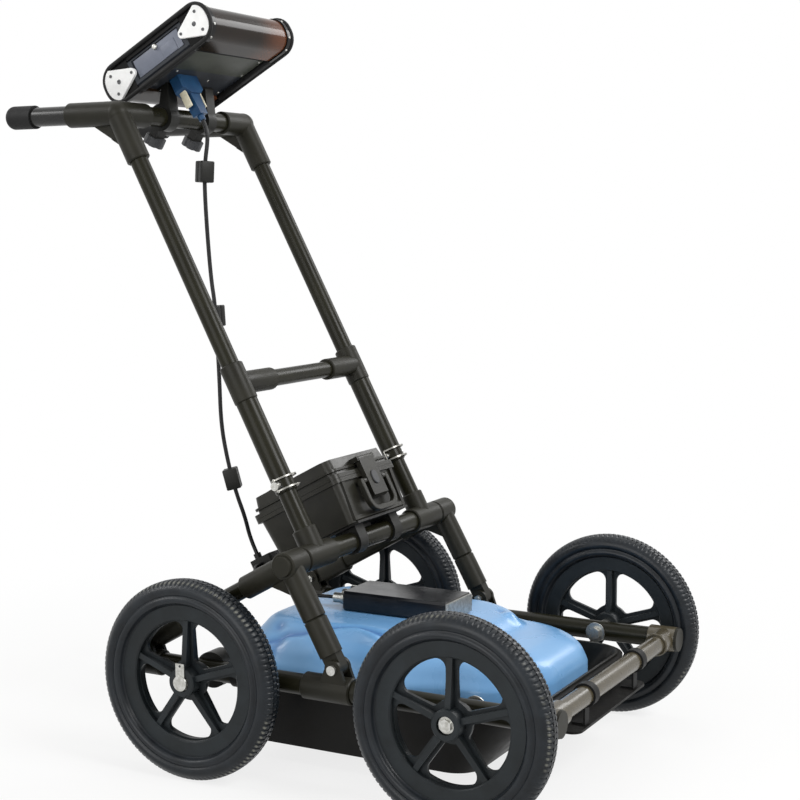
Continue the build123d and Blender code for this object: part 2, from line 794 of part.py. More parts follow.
# Tees on the upper cross tube: outer pair for strut and brace with a gusset, inner pair for the legs
strut_tee_outer = cross_end_y
strut_tee_inner = strut_tee_outer - strut_tee_width
leg_tee_outer = leg_y + leg_tee_half
leg_tee_inner = leg_y - leg_tee_half
strut_branch = strut_length - knuckle_length - seat_gap
with BuildPart() as upper_tees:
    for side in sides:
        y = side * side_y
        head = Vector(cross_x, y, cross_z)
        ways = []
        for (foot_x, foot_z), reach in zip(pivots, (strut_branch, brace_branch)):
            way = (Vector(foot_x, y, foot_z) - head).normalized()
            ways.append((way, reach))
        tee_start = (cross_x, side * strut_tee_inner, cross_z)
        tee_end = (cross_x, side * strut_tee_outer, cross_z)
        add_sleeve(head, tee_start, cross_fitting_od)
        add_sleeve(head, tee_end, cross_fitting_od)
        for way, reach in ways:
            add_sleeve(head, head + way * reach, brace_fitting_od)
        corner = [head] + [head + way * gusset_reach for way, reach in ways]
        add_web(side_plane(y), [(point.X, point.Z) for point in corner], gusset_thickness)
        bore = cross_tube_od + 2 * tube_fit
        add_bar(tee_start, tee_end, bore, Mode.SUBTRACT)
        for way, reach in ways:
            socket = brace_tube_od + 2 * tube_fit
            add_bar(head + way * cross_floor, head + way * reach, socket, Mode.SUBTRACT)
        tee_start = (cross_x, side * leg_tee_inner, cross_z)
        tee_end = (cross_x, side * leg_tee_outer, cross_z)
        leg = side * leg_y
        add_sleeve(leg_point(0, leg), tee_start, cross_fitting_od)
        add_sleeve(leg_point(0, leg), tee_end, cross_fitting_od)
        add_sleeve(leg_point(0, leg), leg_point(leg_tee_branch, leg), leg_fitting_od)
        add_bar(tee_start, tee_end, bore, Mode.SUBTRACT)
        socket = leg_tube_od + 2 * tube_fit
        add_bar(leg_point(cross_floor, leg), leg_point(leg_tee_branch, leg), socket, Mode.SUBTRACT)
finish(upper_tees.part, "upper_tees")

# Leg tubes: a post below and a long leg above, which meet inside the leg sleeve
elbow_seat = leg_length - elbow_leg + socket_depth
pin_hole = pin_d + 2 * run_fit
with BuildPart() as leg_tubes:
    for side in sides:
        leg = side * leg_y
        add_tube(leg_point(cross_floor + seat_gap, leg), leg_point(leg_joint, leg), leg_tube_od)
        add_tube(leg_point(leg_joint + seat_gap, leg), leg_point(elbow_seat - seat_gap, leg), leg_tube_od)
        hole_start = leg_point(pin_at, leg - leg_tube_od)
        add_bar(hole_start, leg_point(pin_at, leg + leg_tube_od), pin_hole, Mode.SUBTRACT)
finish(leg_tubes.part, "leg_tubes")

with BuildPart() as leg_sleeves:
    for side in sides:
        leg = side * leg_y
        sleeve_top = leg_point(mid_tee_at - mid_tee_half - seat_gap, leg)
        add_sleeve(sleeve_top, leg_point(leg_sleeve_start, leg), leg_sleeve_od)
        bore = leg_tube_od + 2 * tube_fit
        add_bar(leg_point(leg_sleeve_start, leg), sleeve_top, bore, Mode.SUBTRACT)
        hole_start = leg_point(pin_at, leg - leg_sleeve_od)
        add_bar(hole_start, leg_point(pin_at, leg + leg_sleeve_od), pin_hole, Mode.SUBTRACT)
finish(leg_sleeves.part, "leg_sleeves")

mid_floor = leg_tube_od / 2 + tube_fit + fitting_wall / 2
with BuildPart() as mid_tees:
    for side in sides:
        leg = side * leg_y
        low, high = leg_point(mid_tee_at - mid_tee_half, leg), leg_point(mid_tee_at + mid_tee_half, leg)
        branch_y = side * (leg_y - mid_tee_branch)
        middle = leg_point(mid_tee_at, leg)
        branch_end = leg_point(mid_tee_at, branch_y)
        add_sleeve(middle, low, leg_fitting_od)
        add_sleeve(middle, high, leg_fitting_od)
        add_sleeve(middle, branch_end, mid_fitting_od)
        add_bar(low, high, leg_tube_od + 2 * tube_fit, Mode.SUBTRACT)
        floor = leg_point(mid_tee_at, side * (leg_y - mid_floor))
        add_bar(floor, branch_end, mid_tube_od + 2 * tube_fit, Mode.SUBTRACT)
finish(mid_tees.part, "mid_tees")

mid_tube_end = leg_y - mid_floor - seat_gap
with BuildPart() as mid_cross_tube:
    add_tube(leg_point(mid_tee_at, -mid_tube_end), leg_point(mid_tee_at, mid_tube_end), mid_tube_od)
finish(mid_cross_tube.part, "mid_cross_tube")

# Snap pins and their wire bails, which hook round the front of the leg
head_floor = leg_sleeve_od / 2 + seat_gap
head_middle = head_floor + pin_head_height / 2
tip_end = leg_sleeve_od / 2 + pin_tip_reach
bail_far = tip_end + bail_wire
bail_front = leg_sleeve_od / 2 + bail_clear
bail_span = pin_head_od + bail_wire + 2 * flex_gap
for side, side_name in ((-1, "right"), (1, "left")):
    leg = side * leg_y
    with BuildPart() as snap_pin:
        tip = leg_point(pin_at, leg - side * tip_end)
        head_start = leg_point(pin_at, leg + side * head_floor)
        head_end = leg_point(pin_at, leg + side * (head_floor + pin_head_height))
        add_bar(tip, head_end, pin_d)
        rims = snap_pin.edges().filter_by(GeomType.CIRCLE).sort_by(Axis.Y)
        chamfer(rims[0 if side > 0 else -1], small_edge)
        add_bar(head_start, head_end, pin_head_od)
        trunnion = leg + side * head_middle
        trunnion_half = bail_span / 2 + bail_wire
        low, high = leg_point(pin_at - trunnion_half, trunnion), leg_point(pin_at + trunnion_half, trunnion)
        add_bar(low, high, bail_wire)
    finish(snap_pin.part, f"snap_pin_{side_name}")
    bail_plane = Plane(origin=leg_point(pin_at, leg), x_dir=leg_ahead, z_dir=leg_up)
    eye_od = bail_wire + 2 * run_fit + 2 * bail_wire
    with BuildPart() as bail:
        for rail in (-1, 1):
            rail_plane = bail_plane.offset(rail * bail_span / 2 - bail_wire / 2)
            with BuildSketch(rail_plane) as rail_shape:
                with BuildLine() as rail_path:
                    ThreePointArc(
                        (0, side * head_middle), (bail_front, side * (head_middle - bail_far) / 2),
                        (0, -side * bail_far),
                    )
                trace(rail_path.line, bail_wire)
                with Locations((0, side * head_middle)):
                    Circle(eye_od / 2)
                    Circle(bail_wire / 2 + run_fit, mode=Mode.SUBTRACT)
            extrude(rail_shape.sketch, amount=bail_wire)
        hook_low = leg_point(pin_at - bail_span / 2, leg - side * bail_far)
        hook_high = leg_point(pin_at + bail_span / 2, leg - side * bail_far)
        add_bar(hook_low, hook_high, bail_wire)
    finish(bail.part, f"pin_bail_{side_name}")

# Handle elbows: leg sleeve, grip sleeve, crossbar socket and a gusset with pockets
handle_socket = handle_tube_od + 2 * tube_fit
leg_socket = leg_tube_od + 2 * tube_fit
branch_floor = handle_fitting_od / 2 + seat_gap
grip_floor = elbow_grip - socket_depth
with BuildPart() as handle_elbows:
    for side in sides:
        leg = side * leg_y
        corner = Vector(corner_x, leg, corner_z)
        sleeve_end = leg_point(leg_length - elbow_leg, leg)
        grip_end = corner - Vector(elbow_grip, 0, 0)
        branch_end = corner - Vector(0, side * elbow_branch, 0)
        add_sleeve(corner, sleeve_end, leg_fitting_od)
        add_sleeve(corner, grip_end, handle_fitting_od)
        add_sleeve(corner, branch_end, handle_fitting_od)
        with Locations(corner):
            Sphere(handle_fitting_od / 2 + elbow_ball_proud)
        gusset_grip = corner - Vector(elbow_gusset_grip, 0, 0)
        gusset_leg = leg_point(leg_length - elbow_gusset_leg, leg)
        outline_points = [(point.X, point.Z) for point in (corner, gusset_grip, gusset_leg)]
        add_web(side_plane(leg), outline_points, gusset_thickness)
        pocket_leg = gusset_leg - leg_ahead * 0.5 * leg_fitting_od
        pocket = [
            (corner_x - 0.5 * handle_fitting_od, corner_z - 0.5 * handle_fitting_od),
            (gusset_grip.X + elbow_gusset_rim, corner_z - 0.5 * handle_fitting_od),
            (pocket_leg.X - soft_edge, gusset_leg.Z + 2 * elbow_gusset_rim),
        ]
        for face in (-1, 1):
            pocket_y = leg + face * gusset_thickness / 2
            add_web(side_plane(pocket_y), pocket, 2 * elbow_gusset_pocket, Mode.SUBTRACT)
        add_bar(sleeve_end, leg_point(elbow_seat, leg), leg_socket, Mode.SUBTRACT)
        add_bar(grip_end, corner - Vector(grip_floor, 0, 0), handle_socket, Mode.SUBTRACT)
        floor = corner - Vector(0, side * branch_floor, 0)
        add_bar(floor, branch_end, handle_socket, Mode.SUBTRACT)
finish(handle_elbows.part, "handle_elbows")

handle_bar_end = leg_y - branch_floor - seat_gap
with BuildPart() as handle_crossbar:
    bar_start = (corner_x, -handle_bar_end, corner_z)
    add_tube(bar_start, (corner_x, handle_bar_end, corner_z), handle_tube_od)
finish(handle_crossbar.part, "handle_crossbar")

grip_end_x = corner_x - grip_cap_start - grip_cap_length
cap_floor_x = grip_end_x + 2 * grip_cap_wall
with BuildPart() as grip_tubes:
    for side in sides:
        tube_start = (corner_x - grip_floor - seat_gap, side * leg_y, corner_z)
        add_tube(tube_start, (cap_floor_x + seat_gap, side * leg_y, corner_z), handle_tube_od)
finish(grip_tubes.part, "grip_tubes")

with BuildPart() as grip_caps:
    for side in sides:
        cap_end = (grip_end_x, side * leg_y, corner_z)
        add_bar((corner_x - grip_cap_start, side * leg_y, corner_z), cap_end, grip_cap_od)
    fillet(grip_caps.edges().filter_by(GeomType.CIRCLE).group_by(Axis.X)[0], grip_cap_od * 0.3)
    for side in sides:
        mouth = (corner_x - grip_cap_start, side * leg_y, corner_z)
        add_bar(mouth, (cap_floor_x, side * leg_y, corner_z), handle_socket, Mode.SUBTRACT)
finish(grip_caps.part, "grip_caps")

# Skid tub: a flared pan with a lip and a shelf at each end that the straps hold
tub_top = tub_floor_height + tub_height


def tub_outline(height, inset):
    # Plan outline of the pan at one height, drawn in by an inset
    part_up = (height - tub_floor_height) / tub_height
    rear = tub_floor_rear + (tub_top_rear - tub_floor_rear) * part_up
    front = tub_floor_front + (tub_top_front - tub_floor_front) * part_up
    half = tub_floor_half + (tub_top_half - tub_floor_half) * part_up
    corner = tub_floor_corner + (tub_top_corner - tub_floor_corner) * part_up - inset
    return outline(height, rear - inset, front - inset, half - inset, corner, corner)


shelf_z = tub_floor_height + shelf_height
with BuildPart() as skid_tub:
    pan = (tub_outline(tub_floor_height, 0), tub_outline(tub_top, 0))
    loft(pan)
    extrude(tub_outline(tub_top, -tub_lip), amount=-tub_lip_height)
    shelf_reach = crossbar_reach + shelf_past
    with BuildSketch(Plane.XY.offset(shelf_z - shelf_thickness)) as shelf:
        with Locations((axle_mid_x + shelf_reach / 2, 0)):
            Rectangle(shelf_reach, 2 * shelf_half)
        fillet(shelf.vertices(), strap_width)
    extrude(shelf.sketch, amount=shelf_thickness)
    hollow = (tub_outline(tub_floor_height + tub_wall, tub_wall), tub_outline(tub_top + tub_wall, tub_wall))
    loft(hollow, mode=Mode.SUBTRACT)
finish(skid_tub.part, "skid_tub")

# Straps: two from the crossbar down to the shelf, two hangers from the side tubes to the lip
strap_bore = crossbar_od + 2 * seat_gap
strap_od = strap_bore + 2 * strap_thickness
hanger_bore = side_tube_od + 2 * seat_gap
hanger_od = hanger_bore + 2 * strap_thickness
hanger_x = axle_mid_x - hanger_behind
hanger_foot = tub_top - tub_lip_height - seat_gap
with BuildPart() as tub_straps:
    for side in sides:
        y = side * strap_spread / 2
        with BuildSketch(side_plane(y)) as strap:
            with Locations((front_bar_x, (axle_z + shelf_z + seat_gap) / 2)):
                Rectangle(strap_thickness, axle_z - shelf_z - seat_gap)
            foot_x = front_bar_x - (strap_foot - strap_thickness) / 2
            with Locations((foot_x, shelf_z + seat_gap + strap_thickness / 2)):
                Rectangle(strap_foot, strap_thickness)
            with Locations((front_bar_x, axle_z)):
                Circle(strap_od / 2)
                Circle(strap_bore / 2, mode=Mode.SUBTRACT)
        extrude(strap.sketch, amount=strap_width / 2, both=True)
        hanger_plane = Plane(origin=(hanger_x, side * side_y, 0), x_dir=(0, side, 0), z_dir=(side, 0, 0))
        foot_in = tub_top_half - side_y + seat_gap
        with BuildSketch(hanger_plane) as hanger:
            with Locations((foot_in / 2, hanger_foot - strap_thickness / 2)):
                Rectangle(-foot_in, strap_thickness)
            with Locations((0, axle_z)):
                Circle(hanger_od / 2)
                Circle(hanger_bore / 2, mode=Mode.SUBTRACT)
        extrude(hanger.sketch, amount=strap_width / 2, both=True)
finish(tub_straps.part, "tub_straps")

# Sensor: antennas in a base that stands in the tub, under a moulded lid
base_inset = tub_wall + seat_gap
base_floor = tub_floor_height + tub_wall + seat_gap
base_top = tub_top + seat_gap + base_rim
with BuildPart() as sensor_base:
    loft((tub_outline(base_floor, base_inset), tub_outline(tub_top + seat_gap, base_inset)))
    extrude(tub_outline(tub_top + seat_gap, base_inset - tub_wall), amount=base_rim)
    inner = base_inset + base_wall
    loft(
        (tub_outline(base_floor + base_wall, inner), tub_outline(base_top + base_wall, inner)),
        mode=Mode.SUBTRACT,
    )
finish(sensor_base.part, "sensor_base")

board_z = base_floor + base_wall + seat_gap
board_mid_x = axle_mid_x + (tub_floor_front - tub_floor_rear) / 2
with BuildPart() as antenna_boards:
    for end in (-1, 1):
        board_x = board_mid_x + end * (antenna_length + antenna_gap) / 2
        with BuildSketch(Plane.XY.offset(board_z)) as board:
            with Locations((board_x, 0)):
                Rectangle(antenna_length, antenna_width)
            chamfer(board.vertices(), antenna_gap)
        extrude(board.sketch, amount=antenna_thickness)
        with BuildSketch(Plane.XY.offset(board_z + antenna_thickness)) as feed:
            with Locations((board_x, 0)):
                Rectangle(antenna_feed, antenna_feed)
        extrude(feed.sketch, amount=antenna_feed / 2)
finish(antenna_boards.part, "antenna_boards")

lid_z = base_top + seat_gap
lid_top = lid_z + lid_deck_height


def lid_section(row, base, height, inset):
    # One plan section of the lid, drawn in by an inset; those above the lip also drop by it
    share, rear_in, front_in, side_in, rear_corner, front_corner = row
    rear, front, half = base
    level = lid_z + height * share - (inset if share > 0 else 0)
    return outline(
        level, rear - rear_in - inset, front - front_in - inset, half - side_in - inset,
        rear_corner - inset, front_corner - inset,
    )


def lid_sections(inset):
    # Shell sections from the lip up to the low nose deck, then those of the raised rear deck
    shell_base = (lid_rear, lid_front, lid_half)
    deck_base = (lid_deck_rear, lid_deck_front, lid_deck_half)
    shell_rows = [lid_section(row, shell_base, lid_shell_height, inset) for row in lid_shell_rows]
    deck_rows = [lid_section(row, deck_base, lid_deck_height, inset) for row in lid_deck_rows]
    return shell_rows, deck_rows


with BuildPart() as sensor_lid:
    shell, deck = lid_sections(0)
    loft(shell)
    loft(deck)
    rear_corner, front_corner = lid_shell_rows[0][-2:]
    skirt = outline(
        lid_z, lid_rear + lid_wall, lid_front + lid_wall, lid_half + lid_wall, rear_corner, front_corner,
    )
    extrude(skirt, amount=lid_skirt)
    shell, deck = lid_sections(lid_wall)
    loft(shell, mode=Mode.SUBTRACT)
    loft(deck, mode=Mode.SUBTRACT)
    for side in sides:
        dish_from = (axle_mid_x - dish_behind, side * (lid_half - dish_side_in), lid_top)
        surface, normal = sensor_lid.part.find_intersection_points(Axis(dish_from, (0, 0, -1)))[0]
        centre = surface + normal * (dish_half_width - dish_depth)
        with BuildSketch(Plane(origin=centre, x_dir=(1, 0, 0), z_dir=(0, 1, 0))) as dish:
            Ellipse(dish_half_length, dish_half_width)
            with Locations((0, dish_half_width)):
                Rectangle(2 * dish_half_length, 2 * dish_half_width, mode=Mode.SUBTRACT)
        revolve(dish.sketch, axis=Axis(centre, (1, 0, 0)), mode=Mode.SUBTRACT)
finish(sensor_lid.part, "sensor_lid")

# Electronics box with a metal end plate at the front and plugs at the back
box_floor = lid_top + seat_gap
box_back_x = axle_mid_x - box_rear
box_front_x = axle_mid_x + box_front
with BuildPart() as electronics_box:
    add_block(Plane.XY, (box_back_x, box_front_x), (-box_half, box_half), (box_floor, box_floor + box_height))
    chamfer(electronics_box.edges().filter_by(Axis.X), box_edge)
    chamfer(electronics_box.faces().sort_by(Axis.X)[0].edges(), box_edge / 2)
finish(electronics_box.part, "electronics_box")

plug_z = box_floor + box_height / 2
with BuildPart() as box_connectors:
    plate_half = box_half - end_plate_margin
    plate_start = box_front_x + seat_gap
    add_block(
        Plane.XY, (plate_start, plate_start + end_plate_thickness), (-plate_half, plate_half),
        (box_floor + end_plate_margin, box_floor + box_height - end_plate_margin),
    )
    for place in (-1, 0, 1):
        y = place * plug_pitch
        plug_start = Vector(box_back_x - seat_gap, y, plug_z)
        add_bar(plug_start, plug_start - Vector(plug_length, 0, 0), plug_od)
        add_bar(plug_start, plug_start - Vector(plug_length / 3, 0, 0), plug_ring_od)
finish(box_connectors.part, "box_connectors")

# Battery case in the frame of the legs: base with rim, cells, lid on a rear hinge
hinge_ahead = -case_rear - rim_proud - seat_gap - hinge_knuckle_od / 2
case_middle = (case_front - case_rear) / 2
case_depth = case_front + case_rear


def case_outline(up, grow, corner):
    with BuildSketch(leg_frame.offset(up)) as section:
        with Locations((case_middle, 0)):
            Rectangle(case_depth + 2 * grow, 2 * (case_half + grow))
        fillet(section.vertices(), corner)
    return section.sketch


def add_hinge_knuckle(side, y_half_start, y_half_end, reach_up):
    # A round knuckle on the hinge axis with a leaf that runs to the case's rim
    start = leg_point(case_split, side + y_half_start, hinge_ahead)
    end = leg_point(case_split, side + y_half_end, hinge_ahead)
    add_bar(start, end, hinge_knuckle_od)
    y_middle = -(side + (y_half_start + y_half_end) / 2)
    leaf = leg_side.offset(y_middle)
    leaf_end = -case_rear - rim_proud + root_overlap
    up_low, up_high = min(0.6 * reach_up, reach_up), max(0.6 * reach_up, reach_up)
    corners = [
        (hinge_ahead, case_split + up_low), (leaf_end, case_split + up_low),
        (leaf_end, case_split + up_high), (hinge_ahead, case_split + up_high),
    ]
    add_web(leaf, corners, y_half_end - y_half_start)


leaf_reach = hinge_knuckle_od / 2
third = hinge_knuckle_length / 3
pin_bore = hinge_pin_d + 2 * run_fit
handle_eye_ahead = case_front + rim_proud + seat_gap + handle_bar / 2
with BuildPart() as battery_case:
    loft((case_outline(case_floor, -case_draft, case_corner), case_outline(case_split, 0, case_corner)))
    extrude(case_outline(case_split - rim_half_height, rim_proud, case_corner), amount=rim_half_height)
    for side in sides:
        hinge_y = side * hinge_spread / 2
        add_hinge_knuckle(hinge_y, -1.5 * third, -0.5 * third - seat_gap, -leaf_reach)
        add_hinge_knuckle(hinge_y, 0.5 * third + seat_gap, 1.5 * third, -leaf_reach)
        lug_y = side * (handle_half - handle_bar / 2 - seat_gap)
        lug_end = leg_point(handle_pivot_at, lug_y - side * handle_bar, handle_eye_ahead)
        lug_start = leg_point(handle_pivot_at, lug_y, handle_eye_ahead)
        add_bar(lug_start, lug_end, handle_bar)
        lug_root = [
            (case_front - case_wall, handle_pivot_at - handle_bar / 2),
            (handle_eye_ahead, handle_pivot_at - handle_bar / 2),
            (handle_eye_ahead, handle_pivot_at + handle_bar / 2),
            (case_front - case_wall, handle_pivot_at + handle_bar / 2),
        ]
        add_web(leg_side.offset(-(lug_y - side * handle_bar / 2)), lug_root, handle_bar)
    post_low, post_high = case_floor + soft_edge, case_split - rim_half_height + root_overlap
    foot_ahead = case_front - case_draft
    post = [
        (foot_ahead - case_wall, post_low), (foot_ahead + post_proud, post_low),
        (case_front + post_proud, post_high), (case_front - case_wall, post_high),
    ]
    for side in sides:
        add_web(leg_side.offset(-side * (case_half - case_corner)), post, post_width)
    rail = [
        (foot_ahead - case_wall, case_floor), (foot_ahead + post_proud - soft_edge, case_floor),
        (foot_ahead + post_proud, post_low), (foot_ahead + post_proud, case_floor + rail_height),
        (foot_ahead - case_wall, case_floor + rail_height),
    ]
    add_web(leg_side, rail, 2 * (case_half - case_corner))
    hollow_low = case_outline(case_floor + case_wall, -case_draft - case_wall, case_corner - case_wall)
    hollow_high = case_outline(case_split + case_wall, -case_wall, case_corner - case_wall)
    loft((hollow_low, hollow_high), mode=Mode.SUBTRACT)
    for side in sides:
        hinge_y = side * hinge_spread / 2
        start = leg_point(case_split, hinge_y - hinge_knuckle_length, hinge_ahead)
        end = leg_point(case_split, hinge_y + hinge_knuckle_length, hinge_ahead)
        add_bar(start, end, pin_bore, Mode.SUBTRACT)
        lug_y = side * handle_half
        start = leg_point(handle_pivot_at, lug_y, handle_eye_ahead)
        end = leg_point(handle_pivot_at, lug_y - side * 2 * handle_bar, handle_eye_ahead)
        add_bar(start, end, handle_pin_d + 2 * run_fit, Mode.SUBTRACT)
finish(battery_case.part, "battery_case")

lid_floor = case_split + lid_open_gap
latch_ahead = case_front + rim_proud + seat_gap
latch_pin_up = latch_top - latch_thickness / 2
latch_pin_ahead = latch_ahead + latch_thickness / 2
with BuildPart() as battery_lid:
    loft((case_outline(lid_floor, 0, case_corner), case_outline(case_top, -case_draft, case_corner)))
    extrude(case_outline(lid_floor, rim_proud, case_corner), amount=rim_half_height)
    extrude(case_outline(lid_floor + ridge_up, ridge_proud, case_corner), amount=ridge_height)
    extrude(case_outline(case_top, -case_draft - top_margin, case_corner), amount=top_proud)
    for side in sides:
        hinge_y = side * hinge_spread / 2
        add_hinge_knuckle(hinge_y, -0.5 * third, 0.5 * third, leaf_reach)
        ear_y = side * (latch_half + seat_gap + latch_pin_d / 2)
        ear = [
            (case_front - 2 * case_draft, latch_pin_up - latch_pin_d),
            (latch_pin_ahead + latch_pin_d, latch_pin_up - latch_pin_d),
            (latch_pin_ahead + latch_pin_d, latch_pin_up + latch_pin_d),
            (case_front - 2 * case_draft, latch_pin_up + latch_pin_d),
        ]
        add_web(leg_side.offset(-ear_y), ear, latch_pin_d)
    hollow_low = case_outline(lid_floor - case_wall, -case_wall, case_corner - case_wall)
    hollow_high = case_outline(case_top - case_wall, -case_draft - case_wall, case_corner - case_wall)
    loft((hollow_low, hollow_high), mode=Mode.SUBTRACT)
    for side in sides:
        hinge_y = side * hinge_spread / 2
        pin_start = leg_point(case_split, hinge_y - 1.5 * third, hinge_ahead)
        pin_end = leg_point(case_split, hinge_y + 1.5 * third, hinge_ahead)
        add_bar(pin_start, pin_end, hinge_pin_d)
    pin_hole_y = latch_half + 2 * latch_pin_d
    pin_start = leg_point(latch_pin_up, -pin_hole_y, latch_pin_ahead)
    add_bar(
        pin_start, leg_point(latch_pin_up, pin_hole_y, latch_pin_ahead),
        latch_pin_d + 2 * run_fit, Mode.SUBTRACT,
    )
finish(battery_lid.part, "battery_lid")

# Latch on the lid, its push button, and the carrying handle on the base
button_up = (latch_top + latch_bottom) / 2 - latch_thickness / 2
with BuildPart() as battery_latch:
    with BuildSketch(leg_side) as blade:
        with BuildLine():
            Polyline(
                (latch_ahead, latch_bottom), (latch_ahead + latch_thickness, latch_bottom + latch_toe),
                (latch_ahead + latch_thickness, latch_top - latch_thickness / 2),
                (latch_ahead, latch_top - latch_thickness / 2), close=True,
            )
        make_face()
        with Locations((latch_pin_ahead, latch_pin_up)):
            Circle(latch_thickness / 2)
    extrude(blade.sketch, amount=latch_half, both=True)
    pin_half = latch_half + seat_gap + latch_pin_d
    pin_start = leg_point(latch_pin_up, -pin_half, latch_pin_ahead)
    add_bar(pin_start, leg_point(latch_pin_up, pin_half, latch_pin_ahead), latch_pin_d)
    pocket = Plane(
        origin=leg_point(button_up, 0, latch_ahead + latch_thickness), x_dir=(0, 1, 0), z_dir=leg_ahead,
    )
    with BuildSketch(pocket) as well:
        slot_fit = 2 * seat_gap
        SlotOverall(latch_button_height + slot_fit, 2 * latch_button_half + slot_fit, rotation=90)
    extrude(well.sketch, amount=-latch_well, mode=Mode.SUBTRACT)
finish(battery_latch.part, "battery_latch")

with BuildPart() as latch_button:
    well_floor = seat_gap + latch_button_travel - latch_well
    with BuildSketch(pocket.offset(well_floor)) as face:
        SlotOverall(latch_button_height, 2 * latch_button_half, rotation=90)
    extrude(face.sketch, amount=latch_button_proud - well_floor)
    chamfer(latch_button.faces().sort_by(Axis(leg_point(0), leg_ahead))[-1].edges(), small_edge)
finish(latch_button.part, "latch_button")

with BuildPart() as case_handle:
    grip_plane = Plane(origin=leg_point(0, 0, handle_eye_ahead), x_dir=(0, 1, 0), z_dir=leg_ahead)
    with BuildSketch(grip_plane) as bow:
        with BuildLine() as bow_path:
            FilletPolyline(
                (-handle_half, handle_pivot_at), (-handle_half, handle_bottom),
                (handle_half, handle_bottom), (handle_half, handle_pivot_at), radius=2 * handle_bar,
            )
        trace(bow_path.line, handle_bar)
        with Locations((-handle_half, handle_pivot_at), (handle_half, handle_pivot_at)):
            Circle(handle_bar / 2)
    extrude(bow.sketch, amount=handle_bar / 2, both=True)
    chamfer(case_handle.faces().sort_by(Axis(leg_point(0), leg_ahead))[-1].edges(), small_edge)
    for side in sides:
        start = leg_point(handle_pivot_at, side * handle_half, handle_eye_ahead)
        end = leg_point(handle_pivot_at, side * (handle_half - 1.4 * handle_bar), handle_eye_ahead)
        add_bar(start, end, handle_pin_d)
finish(case_handle.part, "case_handle")

with BuildPart() as battery_cells:
    cell_floor = case_floor + case_wall + seat_gap
    cell_inset = case_wall + case_draft + cell_gap
    cell_half = (case_half - cell_inset) / 2
    for side in sides:
        middle_y = side * (cell_half + cell_gap / 2)
        with BuildSketch(leg_frame.offset(cell_floor)) as cell:
            with Locations((case_middle, middle_y)):
                Rectangle(case_depth - 2 * cell_inset, 2 * (cell_half - cell_gap))
            fillet(cell.vertices(), case_corner - case_wall)
        extrude(cell.sketch, amount=case_top - case_wall - 2 * cell_gap - cell_floor)
finish(battery_cells.part, "battery_cells")

# Cradle plate under the case, clipped on the upper cross tube, with the terminal box behind
cradle_top = case_floor - seat_gap
cradle_low = cradle_top - cradle_thickness
terminal_rear = -case_rear - terminal_behind - terminal_length
band_bore = cross_tube_od + 2 * tube_fit
with BuildPart() as battery_cradle:
    add_block(
        leg_frame, (terminal_rear, case_front),
        (-terminal_half - cradle_margin, terminal_half + cradle_margin), (cradle_low, cradle_top),
    )
    add_block(leg_frame, (-case_rear, case_front), (-cradle_half, cradle_half), (cradle_low, cradle_top))
    keel = [(-case_rear, cradle_low), (-case_rear / 2, cradle_low - cradle_keel), (0, 0), (0, cradle_top)]
    add_web(leg_side, keel, cradle_band)
    for side in sides:
        band_y = side * (cradle_half - cradle_band)
        with BuildSketch(leg_side.offset(-band_y)) as band:
            Circle(band_bore / 2 + cradle_thickness)
            with Locations((0, cradle_top / 2)):
                Rectangle(band_bore + 2 * cradle_thickness, cradle_top)
        extrude(band.sketch, amount=cradle_band / 2, both=True)
    bore_start = leg_point(0, -cradle_half)
    add_bar(bore_start, leg_point(0, cradle_half), band_bore, Mode.SUBTRACT)
finish(battery_cradle.part, "battery_cradle")

terminal_low = cradle_top + seat_gap
terminal_top = terminal_low + terminal_height
gland_ahead = terminal_rear + terminal_length * gland_share
gland_up = terminal_top + gland_height
lead_side = -plug_pitch
lead_up = terminal_low + terminal_height / 2
with BuildPart() as terminal_box:
    add_block(
        leg_frame, (terminal_rear, terminal_rear + terminal_length), (-terminal_half, terminal_half),
        (terminal_low, terminal_top),
    )
    chamfer(terminal_box.edges().filter_by(Axis(leg_point(0), leg_up)), bold_edge)
    gland_foot = leg_point(terminal_top, gland_side, gland_ahead)
    add_bar(gland_foot, leg_point(gland_up, gland_side, gland_ahead), gland_od)
finish(terminal_box.part, "terminal_box")

# Display: housing, bumper bars on its two long ends, corner plates, screen and button
with BuildPart() as display_housing:
    add_block(
        display_frame, (-housing_half_length, housing_half_length), (-housing_half_width, housing_half_width),
        (-housing_bottom, housing_top),
    )
    chamfer(display_housing.edges().filter_by(Axis(display_middle, display_fwd)), housing_edge)
    add_block(
        display_frame, (-screen_half_length - seat_gap, screen_half_length + seat_gap),
        (-screen_half_width - seat_gap, screen_half_width + seat_gap),
        (housing_top - screen_recess, housing_top + screen_recess), Mode.SUBTRACT,
    )
    for side in sides:
        pocket_floor = side * (housing_half_width - pocket_depth)
        pocket_mouth = side * (housing_half_width + root_overlap)
        add_block(
            display_frame, (pocket_end_margin - housing_half_length, housing_half_length - pocket_end_margin),
            sorted((pocket_floor, pocket_mouth)),
            (pocket_low_margin - housing_bottom, housing_top - pocket_top_margin), Mode.SUBTRACT,
        )
    add_block(
        display_frame, (cover_rear, cover_front), (-cover_half, cover_half),
        (-housing_bottom - cover_proud, root_overlap - housing_bottom),
    )
    hole_end = display_point(button_ahead, -housing_half_width + button_depth, button_rise)
    hole_start = display_point(button_ahead, -2 * housing_half_width, button_rise)
    add_bar(hole_start, hole_end, button_d + 2 * run_fit, Mode.SUBTRACT)
finish(display_housing.part, "display_housing")


def bumper_section(plane, end, grow):
    # A bumper's section with its flat back to the housing, grown all round on the other sides
    length = bumper_length + grow
    with BuildSketch(plane) as section:
        with Locations((end * (housing_half_length + seat_gap + length / 2), 0)):
            Rectangle(length, 2 * (bumper_half_height + grow))
        outer = section.vertices().sort_by(Axis(display_middle, display_fwd * end))[-2:]
        fillet(outer, bumper_round + grow)
    return section.sketch


